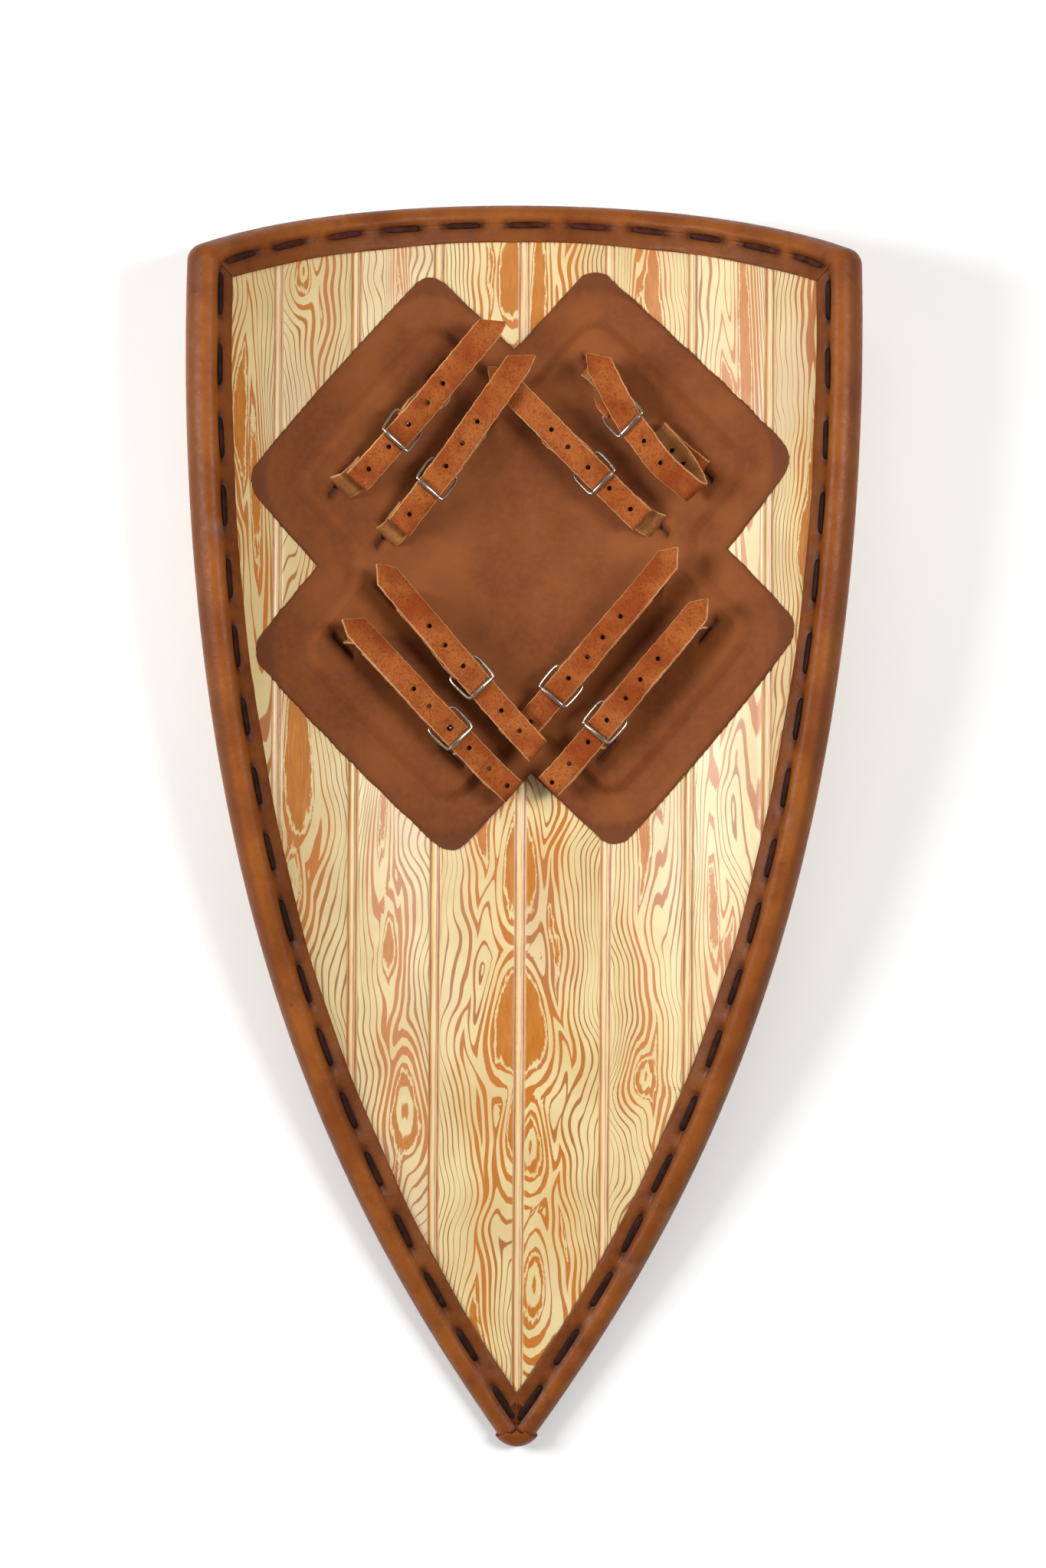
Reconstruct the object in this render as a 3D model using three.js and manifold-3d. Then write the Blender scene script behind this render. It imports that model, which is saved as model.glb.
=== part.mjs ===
// A heater shield of foam board with a printed plank face, a laced leather rim,
// a padded leather cross on its hollow back and eight buckled arm straps.
// It lies on its bulging front: +Y is the top edge, +X is the right of the back, +Z is up. Millimetres.
import * as THREE from 'three';
import { mergeVertices } from 'three/addons/utils/BufferGeometryUtils.js';
import Module from 'manifold-3d';

const wasm = await Module();
wasm.setup();

// Clearance between pieces that touch
const GAP = 0.3;

// Outline, measured flat along the hollow back, on the middle line of the rim's bead
const LENGTH = 1094;
const HALF_ROUND = 304.7;
const SIDE_RADIUS = 1696;
const TOP_RADIUS = 815;
const CORNER_RADIUS = 1;
const TIP_RADIUS = 8;

// Foam board
const BACK_RADIUS = 350;
const BOARD_THICK = 20;
const PLANK_PITCH = 77;
const PLANK_COUNT = 8;
const GROOVE_WIDE = 9.5;
const GROOVE_DEEP = 1.6;

// Leather rim: a strip folded over the edge, with a fat bead outside its lacing
const BEAD_HALF_WIDE = 14.5;
const BEAD_HALF_THICK = 15.5;
const RIM_LEATHER = 2.5;
const RIM_INNER_EDGE = 26;
const BEAD_FOOT = 6.2;

// Lacing of the rim
const TOP_STITCHES = 11;
const SIDE_STITCHES = 18;
const STITCH_LONG = 33;
const STITCH_WIDE = 4.8;
const STITCH_HIGH = 2;
const STITCH_INSET = 9;
const STITCH_SUNK = 1;

// Padded cross for the arm
const PAD_BELOW_TOP = 308;
const PAD_TURN = 47.6;
const PAD_ACROSS = 480;
const PAD_ARM_WIDE = 270;
const PAD_CORNER_RADIUS = 20;
const PAD_EDGE_BOW = 1.2;
const PAD_LEATHER = 3;
const PAD_RISE = 8;
const PAD_BORDER = 30;
const PAD_SLOPE = 10;

// Straps
const STRAP_WIDE = 24;
const STRAP_THICK = 2.8;
const SLOT_APART = 144;
const OUTER_ROW = 171;
const INNER_ROW = 109;
const SLOT_DEEP = 8;
const SLOT_CLEARANCE = 1.4;
const SLOT_END_CLEARANCE = 3;
const HOLE_PITCH = 26;
const HOLE_FIRST = 4;
const HOLE_RADIUS = 2.1;
const LAYERS_APART = 4.2;

// Buckles
const WIRE_RADIUS = 1.4;
const FRAME_LONG = 25;
const FRAME_SIDE_CLEARANCE = 1.8;
const FRAME_CORNER = 6;
const ROLLER_RADIUS = 2.5;
const PRONG_RADIUS = 1.1;
const BAR_SHARE = 0.86;
const HEEL_DROP = 2;
const PRONG_HOLE = 13;
// The stretch beside a buckle that lies straight, and the stretch over which it eases into the bend
const BUCKLE_REACH = 40;
const BUCKLE_FADE = 25;

// Flat spots that it lies on
const FLAT_CUT = 1.9;

const HALF_LENGTH = LENGTH / 2;
const SIDE_CENTRE_S = HALF_ROUND - SIDE_RADIUS;
const SIDE_CENTRE_V = -HALF_LENGTH + Math.sqrt(SIDE_RADIUS ** 2 - SIDE_CENTRE_S ** 2);
const TOP_CENTRE_V = HALF_LENGTH - TOP_RADIUS;
const PAD_V = HALF_LENGTH - PAD_BELOW_TOP;
const PAD_UNDER = GAP;
const PAD_TOP = PAD_UNDER + PAD_LEATHER + PAD_RISE;
const SLOT = SLOT_APART / 2;
const SLOT_FLOOR = -SLOT_DEEP + GAP;
const WRAP = WIRE_RADIUS + GAP + STRAP_THICK / 2;
const LAYER = STRAP_THICK + LAYERS_APART;
// How far a cutting wall passes beyond the faces that it cuts
const WALL_REACH = 4;
const FRAME_HALF = STRAP_WIDE / 2 + FRAME_SIDE_CLEARANCE + WIRE_RADIUS;
const DEGREE = Math.PI / 180;
const AXES = [new THREE.Vector3(1, 0, 0), new THREE.Vector3(0, 1, 0), new THREE.Vector3(0, 0, 1)];

// Bends a flat point: s across, v up the shield, b out of the hollow back
function bend(s, v, b) {
  const turn = s / BACK_RADIUS;
  const reach = BACK_RADIUS - b;
  return new THREE.Vector3(reach * Math.sin(turn), v, BACK_RADIUS - reach * Math.cos(turn));
}

// A closed skin over rings of points, with capped or joined ends
function loft(rings, joined) {
  const count = rings[0].length;
  const positions = [];
  for (const ring of rings) {
    for (const point of ring) positions.push(point.x, point.y, point.z);
  }
  const index = [];
  const bands = joined ? rings.length : rings.length - 1;
  for (let band = 0; band < bands; band += 1) {
    const next = (band + 1) % rings.length;
    for (let i = 0; i < count; i += 1) {
      const j = (i + 1) % count;
      const a = band * count + i;
      const b = band * count + j;
      const c = next * count + j;
      const d = next * count + i;
      index.push(a, b, c, a, c, d);
    }
  }
  if (!joined) {
    const last = (rings.length - 1) * count;
    for (let i = 1; i < count - 1; i += 1) {
      index.push(0, i + 1, i);
      index.push(last, last + i, last + i + 1);
    }
  }
  const geometry = new THREE.BufferGeometry();
  geometry.setAttribute('position', new THREE.Float32BufferAttribute(positions, 3));
  geometry.setIndex(index);
  return facingOut(geometry);
}

// Turns every face over when the skin is inside out
function facingOut(geometry) {
  const position = geometry.attributes.position;
  const index = geometry.index.array;
  const corners = [new THREE.Vector3(), new THREE.Vector3(), new THREE.Vector3()];
  let volume = 0;
  for (let i = 0; i < index.length; i += 3) {
    for (let k = 0; k < 3; k += 1) corners[k].fromBufferAttribute(position, index[i + k]);
    volume += corners[0].dot(corners[1].clone().cross(corners[2]));
  }
  if (volume < 0) {
    for (let i = 0; i < index.length; i += 3) {
      const swap = index[i];
      index[i] = index[i + 1];
      index[i + 1] = swap;
    }
  }
  return geometry;
}

// A closed mesh as a solid that can be joined and cut
function solid(geometry) {
  const bare = geometry.clone();
  bare.deleteAttribute('normal');
  bare.deleteAttribute('uv');
  const merged = mergeVertices(bare, 1e-4);
  return new wasm.Manifold(new wasm.Mesh({
    numProp: 3,
    vertProperties: new Float32Array(merged.attributes.position.array),
    triVerts: new Uint32Array(merged.index.array),
  }));
}

// A solid back as a mesh geometry
function skin(manifold) {
  const mesh = manifold.getMesh();
  const geometry = new THREE.BufferGeometry();
  geometry.setAttribute('position', new THREE.BufferAttribute(mesh.vertProperties, 3));
  geometry.setIndex(new THREE.BufferAttribute(mesh.triVerts, 1));
  return geometry;
}

// A round wire along points that lie in one plane
function wire(points, planeNormal, radius, sides, joined) {
  const count = points.length;
  const rings = points.map((point, i) => {
    const before = joined ? points[(i + count - 1) % count] : points[Math.max(i - 1, 0)];
    const after = joined ? points[(i + 1) % count] : points[Math.min(i + 1, count - 1)];
    const into = point.clone().sub(before).normalize();
    const out = after.clone().sub(point).normalize();
    const tangent = after.clone().sub(before).normalize();
    const straight = Math.max(into.dot(tangent), out.dot(tangent), 0.5);
    const side = tangent.clone().cross(planeNormal).normalize().multiplyScalar(radius / straight);
    const up = planeNormal.clone().multiplyScalar(radius);
    const ring = [];
    for (let k = 0; k < sides; k += 1) {
      const angle = (k + 0.5) / sides * 2 * Math.PI;
      ring.push(point.clone().addScaledVector(side, Math.cos(angle)).addScaledVector(up, Math.sin(angle)));
    }
    return ring;
  });
  return loft(rings, joined);
}

// A box between low and high corners, set in a frame of three axes at a place
function boxIn(place, axes, low, high) {
  const size = high.map((value, i) => value - low[i]);
  const geometry = new THREE.BoxGeometry(...size);
  geometry.translate(...low.map((value, i) => value + size[i] / 2));
  const matrix = new THREE.Matrix4().makeBasis(...axes);
  matrix.setPosition(place);
  geometry.applyMatrix4(matrix);
  return facingOut(geometry);
}

// The corner between the top arch and the side, where the two middle lines meet
function cornerAngle() {
  let low = 0;
  let high = Math.PI / 4;
  for (let i = 0; i < 60; i += 1) {
    const angle = (low + high) / 2;
    const s = TOP_RADIUS * Math.sin(angle);
    const v = TOP_CENTRE_V + TOP_RADIUS * Math.cos(angle);
    const inside = Math.hypot(s - SIDE_CENTRE_S, v - SIDE_CENTRE_V) < SIDE_RADIUS;
    if (inside) low = angle;
    else high = angle;
  }
  return low;
}

// Stations along the rim's middle line, clockwise from the top left corner.
// Each one gives the point at a distance outside that line.
function rimStations() {
  const stations = [];
  const topEnd = cornerAngle();
  const cornerS = TOP_RADIUS * Math.sin(topEnd);
  const cornerV = TOP_CENTRE_V + TOP_RADIUS * Math.cos(topEnd);
  const sideTop = Math.asin((cornerV - SIDE_CENTRE_V) / SIDE_RADIUS);
  const sideTip = -Math.acos(-SIDE_CENTRE_S / SIDE_RADIUS);

  const straight = (s, v, angle) => (n) => [s + n * Math.cos(angle), v + n * Math.sin(angle)];
  const fan = (s, v, radius, from, to, share) => (n) => {
    const angle = from + (to - from) * share;
    const middle = (from + to) / 2;
    const reach = n + radius;
    if (reach >= 0) return [s + reach * Math.cos(angle), v + reach * Math.sin(angle)];
    const mitre = reach / Math.cos((to - from) / 2);
    const ease = 0.08 * reach;
    return [
      s + mitre * Math.cos(middle) - ease * (Math.cos(angle) - Math.cos(middle)),
      v + mitre * Math.sin(middle) - ease * (Math.sin(angle) - Math.sin(middle)),
    ];
  };
  const addFan = (s, v, radius, from, to, steps) => {
    for (let i = 0; i <= steps; i += 1) stations.push(fan(s, v, radius, from, to, i / steps));
  };

  // Normals at the two ends of each rounding
  const topNormal = Math.PI / 2 - topEnd;
  const inset = CORNER_RADIUS / Math.cos((topNormal - sideTop) / 2);
  const half = (topNormal + sideTop) / 2;
  const roundS = cornerS - inset * Math.cos(half);
  const roundV = cornerV - inset * Math.sin(half);
  const tipV = -HALF_LENGTH + TIP_RADIUS / Math.sin(Math.PI / 2 + sideTip);

  addFan(-roundS, roundV, CORNER_RADIUS, Math.PI - sideTop, Math.PI - topNormal, 2);
  for (let i = 1; i < TOP_STITCHES; i += 1) {
    const angle = -topEnd + 2 * topEnd * i / TOP_STITCHES;
    const s = TOP_RADIUS * Math.sin(angle);
    const v = TOP_CENTRE_V + TOP_RADIUS * Math.cos(angle);
    stations.push(straight(s, v, Math.PI / 2 - angle));
  }
  addFan(roundS, roundV, CORNER_RADIUS, topNormal, sideTop, 2);
  const sideAt = (i) => sideTop + (sideTip - sideTop) * i / SIDE_STITCHES;
  for (let i = 1; i < SIDE_STITCHES; i += 1) {
    const angle = sideAt(i);
    const s = SIDE_CENTRE_S + SIDE_RADIUS * Math.cos(angle);
    const v = SIDE_CENTRE_V + SIDE_RADIUS * Math.sin(angle);
    stations.push(straight(s, v, angle));
  }
  addFan(0, tipV, TIP_RADIUS, sideTip, -Math.PI - sideTip, 3);
  for (let i = SIDE_STITCHES - 1; i > 0; i -= 1) {
    const angle = sideAt(i);
    const s = SIDE_CENTRE_S + SIDE_RADIUS * Math.cos(angle);
    const v = SIDE_CENTRE_V + SIDE_RADIUS * Math.sin(angle);
    stations.push(straight(-s, v, Math.PI - angle));
  }
  return stations;
}

const STATIONS = rimStations();
const CORNER_STATIONS = 3;
const TIP_STATIONS = 4;
const STITCH_PITCH = TOP_RADIUS * 2 * cornerAngle() / TOP_STITCHES;
// How far a straight facet between two stations falls short of the curve
const FACET_SAG = STITCH_PITCH ** 2 / 8 / BACK_RADIUS;
const BOARD_MIDDLE = -BOARD_THICK / 2;

// A closed ring round the whole edge from a section of [n, b] points
function rimRing(section) {
  return loft(STATIONS.map((at) => section.map(([n, b]) => bend(...at(n), b))), true);
}

function beadPoints(less) {
  return [105, 55, 0, -55, -105].map((angle) => [
    (BEAD_HALF_WIDE - less) * Math.cos(angle * DEGREE),
    BOARD_MIDDLE + (BEAD_HALF_THICK - less) * Math.sin(angle * DEGREE),
  ]);
}

// Foam board: a slab with plank grooves on both faces, and a swollen edge
function foamBoard() {
  const reach = PLANK_PITCH * PLANK_COUNT / 2 + BEAD_HALF_WIDE * 2;
  const edges = [];
  for (let i = -PLANK_COUNT / 2 + 1; i < PLANK_COUNT / 2; i += 1) edges.push(i * PLANK_PITCH);
  const last = edges[edges.length - 1];
  const profile = [[-reach, 0], [-last - PLANK_PITCH, 0]];
  for (const edge of edges) {
    profile.push([edge - 2 * PLANK_PITCH / 3, 0], [edge - PLANK_PITCH / 3, 0]);
    profile.push([edge - GROOVE_WIDE / 2, 0], [edge - GROOVE_WIDE / 4, -GROOVE_DEEP]);
    profile.push([edge, -GROOVE_DEEP / 6]);
    profile.push([edge + GROOVE_WIDE / 4, -GROOVE_DEEP], [edge + GROOVE_WIDE / 2, 0]);
  }
  profile.push([last + PLANK_PITCH / 3, 0], [last + 2 * PLANK_PITCH / 3, 0], [last + PLANK_PITCH, 0]);
  profile.push([reach, 0]);
  profile.push([reach, -BOARD_THICK]);
  for (const edge of edges.toReversed()) {
    profile.push([edge + 2 * PLANK_PITCH / 3, -BOARD_THICK], [edge + PLANK_PITCH / 3, -BOARD_THICK]);
    profile.push([edge + GROOVE_WIDE / 4, -BOARD_THICK], [edge, -BOARD_THICK + GROOVE_DEEP]);
    profile.push([edge - GROOVE_WIDE / 4, -BOARD_THICK]);
  }
  profile.push([-last - PLANK_PITCH / 3, -BOARD_THICK], [-last - 2 * PLANK_PITCH / 3, -BOARD_THICK]);
  profile.push([-reach, -BOARD_THICK]);

  // The outline, as walls that point at the axis of the bend
  const edge = STATIONS.map((at) => at(0));
  const outline = wallsThrough([[edge, WALL_REACH], [edge, -BOARD_THICK - WALL_REACH]]);
  const swollen = beadPoints(RIM_LEATHER + GAP).toReversed();
  const bead = rimRing([...swollen, [-BEAD_HALF_WIDE + RIM_LEATHER, BOARD_MIDDLE]]);
  return skin(bentSlab(profile).intersect(outline).add(solid(bead)));
}

// A slab the length of the shield and more, from its [s, b] profile
function bentSlab(profile) {
  const run = LENGTH * 1.2;
  const shape = new THREE.Shape(profile.map(([s, b]) => {
    const point = bend(s, 0, b);
    return new THREE.Vector2(point.x, point.z);
  }));
  const slab = new THREE.ExtrudeGeometry(shape, { depth: run, bevelEnabled: false });
  slab.rotateX(Math.PI / 2);
  slab.translate(0, run / 2, 0);
  return solid(slab);
}

// A block whose walls pass through each level's flat outline, from the top level down,
// and then drop to well under the shield
function wallsThrough(levels) {
  const turnedOver = THREE.ShapeUtils.area(levels[0][0].map((p) => new THREE.Vector2(...p))) < 0;
  const outlines = levels.map(([outline]) => (turnedOver ? outline.toReversed() : outline));
  const rings = outlines.map((outline, i) => outline.map(([s, v]) => bend(s, v, levels[i][1])));
  rings.push(rings.at(-1).map((point) => new THREE.Vector3(point.x, point.y, -BACK_RADIUS)));
  const flat = outlines[0].map((p) => new THREE.Vector2(...p));
  const count = flat.length;
  const last = (rings.length - 1) * count;
  const index = [];
  for (const face of THREE.ShapeUtils.triangulateShape(flat, [])) {
    const turned = THREE.ShapeUtils.area(face.map((k) => flat[k])) < 0;
    const [a, b, c] = turned ? face.toReversed() : face;
    index.push(a, b, c, last + c, last + b, last + a);
  }
  for (let level = 0; level < last; level += count) {
    for (let i = 0; i < count; i += 1) {
      const a = level + i;
      const b = level + (i + 1) % count;
      index.push(a, count + a, count + b, a, count + b, b);
    }
  }
  const geometry = new THREE.BufferGeometry();
  geometry.setAttribute('position', new THREE.Float32BufferAttribute(rings.flat().flatMap((p) => p.toArray()), 3));
  geometry.setIndex(index);
  return solid(facingOut(geometry));
}

// One stitch: a low ridge with sloping ends between two places along the rim, counted in stations
function stitch(from, to) {
  const place = (along, n, b) => {
    const first = Math.floor(along);
    const near = bend(...STATIONS[first](n), b);
    const far = bend(...STATIONS[(first + 1) % STATIONS.length](n), b);
    return near.lerp(far, along - first);
  };
  const surface = GAP + RIM_LEATHER;
  const ease = 0.12 * (to - from);
  const positions = [
    [from, -STITCH_INSET - STITCH_WIDE / 2, surface - STITCH_SUNK],
    [to, -STITCH_INSET - STITCH_WIDE / 2, surface - STITCH_SUNK],
    [to, -STITCH_INSET + STITCH_WIDE / 2, surface - STITCH_SUNK],
    [from, -STITCH_INSET + STITCH_WIDE / 2, surface - STITCH_SUNK],
    [from + ease, -STITCH_INSET, surface + STITCH_HIGH],
    [to - ease, -STITCH_INSET, surface + STITCH_HIGH],
  ].flatMap(([along, n, b]) => place(along, n, b).toArray());
  const geometry = new THREE.BufferGeometry();
  geometry.setAttribute('position', new THREE.Float32BufferAttribute(positions, 3));
  geometry.setIndex([0, 2, 1, 0, 3, 2, 0, 1, 5, 0, 5, 4, 2, 3, 4, 2, 4, 5, 1, 2, 5, 3, 0, 4]);
  return solid(facingOut(geometry));
}

// Leather rim with its lacing, cut flat where it lies on the ground
function rimLeather() {
  const back = GAP;
  const front = -BOARD_THICK - GAP - FACET_SAG;
  const outside = beadPoints(0);
  const inside = beadPoints(RIM_LEATHER);
  const section = [
    [-RIM_INNER_EDGE, back + RIM_LEATHER],
    [-BEAD_FOOT, back + RIM_LEATHER],
    ...outside,
    [-BEAD_FOOT, front - RIM_LEATHER],
    [-RIM_INNER_EDGE, front - RIM_LEATHER],
    [-RIM_INNER_EDGE, front],
    [-BEAD_FOOT, front],
    ...inside.toReversed(),
    [-BEAD_FOOT, back],
    [-RIM_INNER_EDGE, back],
  ];
  let rim = solid(rimRing(section));
  const half = STITCH_LONG / STITCH_PITCH / 2;
  const sewn = [[CORNER_STATIONS - 1, TOP_STITCHES]];
  sewn.push([2 * CORNER_STATIONS - 2 + TOP_STITCHES, SIDE_STITCHES]);
  sewn.push([2 * CORNER_STATIONS + TIP_STATIONS - 3 + TOP_STITCHES + SIDE_STITCHES, SIDE_STITCHES]);
  for (const [first, count] of sewn) {
    for (let i = 0; i < count; i += 1) {
      rim = rim.add(stitch(first + i + 0.5 - half, first + i + 0.5 + half));
    }
  }
  const low = rim.boundingBox().min[2] + FLAT_CUT;
  const ground = boxIn(new THREE.Vector3(0, 0, low), AXES, [-LENGTH, -LENGTH, -LENGTH], [LENGTH, LENGTH, 0]);
  return { rim: skin(rim.subtract(solid(ground))), low };
}

// A point of the pad's own flat frame, turned and placed on the back
function onPad(along, across) {
  const turn = PAD_TURN * DEGREE;
  return [
    along * Math.cos(turn) - across * Math.sin(turn),
    PAD_V + along * Math.sin(turn) + across * Math.cos(turn),
  ];
}

// The cross's outline, drawn in by an inset
function crossOutline(inset) {
  const reach = PAD_ACROSS / 2 - inset;
  const half = PAD_ARM_WIDE / 2 - inset;
  const radius = Math.max(PAD_CORNER_RADIUS - inset / 2, 2);
  const arm = [];
  const side = PAD_ARM_WIDE / 2 + (PAD_ACROSS - PAD_ARM_WIDE) / 4;
  arm.push([half, -half]);
  arm.push([Math.min(side, (reach + half) / 2), -half - PAD_EDGE_BOW]);
  arm.push([reach - radius, -half]);
  arm.push([reach - radius * 0.29, -half + radius * 0.29]);
  arm.push([reach, -half + radius]);
  for (const share of [-0.5, 0, 0.5]) {
    arm.push([reach + PAD_EDGE_BOW * (1 - share ** 2), share * (half - radius)]);
  }
  arm.push([reach, half - radius]);
  arm.push([reach - radius * 0.29, half - radius * 0.29]);
  arm.push([reach - radius, half]);
  arm.push([Math.min(side, (reach + half) / 2), half + PAD_EDGE_BOW]);
  const points = [];
  for (let quarter = 0; quarter < 4; quarter += 1) {
    const cos = [1, 0, -1, 0][quarter];
    const sin = [0, 1, 0, -1][quarter];
    for (const [x, y] of arm) points.push([x * cos - y * sin, x * sin + y * cos]);
  }
  return points;
}

// One layer of the pad, between two heights, with walls that pass through an inset at each height
function padLayer(low, high, insetLow, insetHigh) {
  const facetWide = 2 * PLANK_PITCH / 3;
  const facets = Math.ceil(PAD_ACROSS * 0.6 / facetWide);
  const lines = [];
  for (let i = -facets; i <= facets; i += 1) lines.push(i * facetWide);
  const profile = lines.map((s) => [s, high]);
  profile.push(...lines.toReversed().map((s) => [s, low]));
  const slope = (insetHigh - insetLow) / (high - low);
  const placed = (inset) => crossOutline(inset).map(([along, across]) => onPad(along, across));
  const walls = wallsThrough([
    [placed(insetHigh + slope * WALL_REACH), high + WALL_REACH],
    [placed(insetLow - slope * WALL_REACH), low - WALL_REACH],
  ]);
  return bentSlab(profile).intersect(walls);
}

// Padded leather cross with blind slots that hold the straps' ends
function armPad(straps) {
  const flange = PAD_UNDER + PAD_LEATHER;
  let pad = padLayer(PAD_UNDER, flange, 0, 0);
  pad = pad.add(padLayer(flange - GAP, PAD_TOP, PAD_BORDER, PAD_BORDER + PAD_SLOPE));
  const long = STRAP_WIDE / 2 + SLOT_END_CLEARANCE;
  const wide = STRAP_THICK / 2 + SLOT_CLEARANCE;
  for (const strap of straps) {
    for (const end of [-SLOT, SLOT]) {
      const place = strap.curved(end, strap.row, 0);
      const across = strap.curved(end, strap.row + 1, 0).sub(place).normalize();
      const up = strap.curved(end, strap.row, 1).sub(place).normalize();
      const axes = [up.clone().cross(across).normalize(), across, up];
      const cut = boxIn(place, axes, [-wide, -long, -SLOT_DEEP], [wide, long, SLOT_DEEP]);
      pad = pad.subtract(solid(cut));
    }
  }
  return skin(pad);
}

// Which way each arm of the cross points, and which way its straps run, as [along, across] of the pad
const ARMS = {
  upper_left: { out: [0, 1], run: [1, 0] },
  upper_right: { out: [1, 0], run: [0, 1] },
  lower_left: { out: [-1, 0], run: [0, 1] },
  lower_right: { out: [0, -1], run: [1, 0] },
};

// Each strap: where its buckle's roller, its fold and its tip lie along it, how high it arches,
// how far it leans out of its row at the fold and at the tip, and how its slack is laid
const STRAPS = [
  { name: 'upper_left_outer', arm: 'upper_left', row: OUTER_ROW, slack: 'tucked',
    bar: -15, tip: 141, high: 30, crest: 37, tipHigh: 34, lean: -4, tipLean: -8, point: -8, prongUp: false },
  { name: 'upper_left_inner', arm: 'upper_left', row: INNER_ROW, slack: 'tucked',
    bar: -21, tip: 138, high: 30, crest: 38, tipHigh: 38, lean: -1, tipLean: 12, point: -8, prongUp: false },
  { name: 'upper_right_inner', arm: 'upper_right', row: INNER_ROW, slack: 'tucked',
    bar: -15, tip: 141, high: 28, crest: 32, tipHigh: 22, lean: -4, tipLean: -7, point: 0, prongUp: false },
  { name: 'upper_right_outer', arm: 'upper_right', row: OUTER_ROW, slack: 'drooping',
    bar: -4, fold: -92, tip: 73, high: 34, crest: 41, tipHigh: 37, lean: -22, tipLean: 1, point: -5, prongUp: false },
  { name: 'lower_left_outer', arm: 'lower_left', row: OUTER_ROW, slack: 'folded',
    bar: -62, fold: -134, tip: 100, high: 30, crest: 37, tipHigh: 34, lean: -13, tipLean: -6, point: 5, prongUp: true },
  { name: 'lower_left_inner', arm: 'lower_left', row: INNER_ROW, slack: 'folded', foldLow: 21,
    bar: -47, fold: -127, tip: 107, high: 35, crest: 40, tipHigh: 36, lean: 6, tipLean: 0, point: 0, prongUp: false },
  { name: 'lower_right_inner', arm: 'lower_right', row: INNER_ROW, slack: 'folded', foldLow: 5, foldRadius: 5,
    bar: -70, fold: -109, tip: 115, high: 24, crest: 34, tipHigh: 34, lean: -6, tipLean: 5, point: 0, prongUp: false },
  { name: 'lower_right_outer', arm: 'lower_right', row: OUTER_ROW, slack: 'folded',
    bar: -63, fold: -131, tip: 104, high: 30, crest: 37, tipHigh: 34, lean: -15, tipLean: -1, point: 0, prongUp: false },
];

// A strap's own frame: t runs along it between its slots, u points out along the pad's arm,
// h is the height over the pad. Near the buckle the frame is straight, elsewhere it follows the bend.
function setFrame(strap) {
  const { out, run } = ARMS[strap.arm];
  const curved = (t, u, h) => bend(...onPad(t * run[0] + u * out[0], t * run[1] + u * out[1]), PAD_TOP + h);
  strap.leanAt = (t) => {
    const start = strap.fold ?? -SLOT;
    const share = THREE.MathUtils.clamp((t - start) / (strap.tip - start), 0, 1);
    return strap.row + THREE.MathUtils.lerp(strap.lean, strap.tipLean, share);
  };
  const u = strap.leanAt(strap.bar);
  const home = curved(strap.bar, u, strap.high);
  const along = curved(strap.bar + 1, u, strap.high).sub(home).normalize();
  const outward = curved(strap.bar, u + 1, strap.high).sub(home).normalize();
  const up = along.clone().cross(outward).normalize();
  if (up.z < 0) up.negate();
  const across = outward.addScaledVector(along, -outward.dot(along)).normalize();
  strap.home = home;
  strap.axes = { along, across, up };
  strap.curved = curved;
  strap.at = (t, where, h) => {
    const rigid = home.clone().addScaledVector(along, t - strap.bar);
    rigid.addScaledVector(across, where - u).addScaledVector(up, h - strap.high);
    const far = Math.abs(t - strap.bar) - BUCKLE_REACH;
    const loose = THREE.MathUtils.smoothstep(far, 0, BUCKLE_FADE);
    return rigid.lerp(curved(t, where, h), loose);
  };
  strap.heel = strap.bar + FRAME_LONG;
  strap.heelHigh = strap.high - HEEL_DROP;
}
STRAPS.forEach(setFrame);

// A flat band through stations of place, width and thickness
function band(strap, stations) {
  const places = stations.map((one) => {
    const at = one.inSlot ? strap.curved : strap.at;
    const place = at(one.t, one.u, one.h);
    const wide = at(one.t, one.u + 1, one.h).sub(place).normalize();
    return { place, wide };
  });
  const rings = places.map(({ place, wide }, i) => {
    const before = places[Math.max(i - 1, 0)].place;
    const after = places[Math.min(i + 1, places.length - 1)].place;
    const tangent = after.clone().sub(before).normalize();
    const into = i > 0 ? place.clone().sub(before).normalize() : tangent;
    const across = wide.clone().addScaledVector(tangent, -wide.dot(tangent)).normalize();
    if (stations[i].roll) across.applyAxisAngle(tangent, stations[i].roll * DEGREE * strap.rollWay);
    const thick = tangent.clone().cross(across).normalize();
    const half = stations[i].half ?? STRAP_WIDE / 2;
    const centre = place.clone().addScaledVector(across, stations[i].skew ?? 0);
    const deep = STRAP_THICK / 2 / Math.max(into.dot(tangent), 0.6);
    return [[1, 1], [-1, 1], [-1, -1], [1, -1]].map(([a, b]) =>
      centre.clone().addScaledVector(across, a * half).addScaledVector(thick, b * deep));
  });
  return loft(rings, false);
}

// Stations round half a turn: from under the centre to over it, bulging to the near or far side
function halfTurn(t, h, radius, way) {
  return [-60, 0, 60].map((angle) => ({
    t: t + way * radius * Math.cos(angle * DEGREE),
    h: h + radius * Math.sin(angle * DEGREE),
  }));
}

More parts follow.
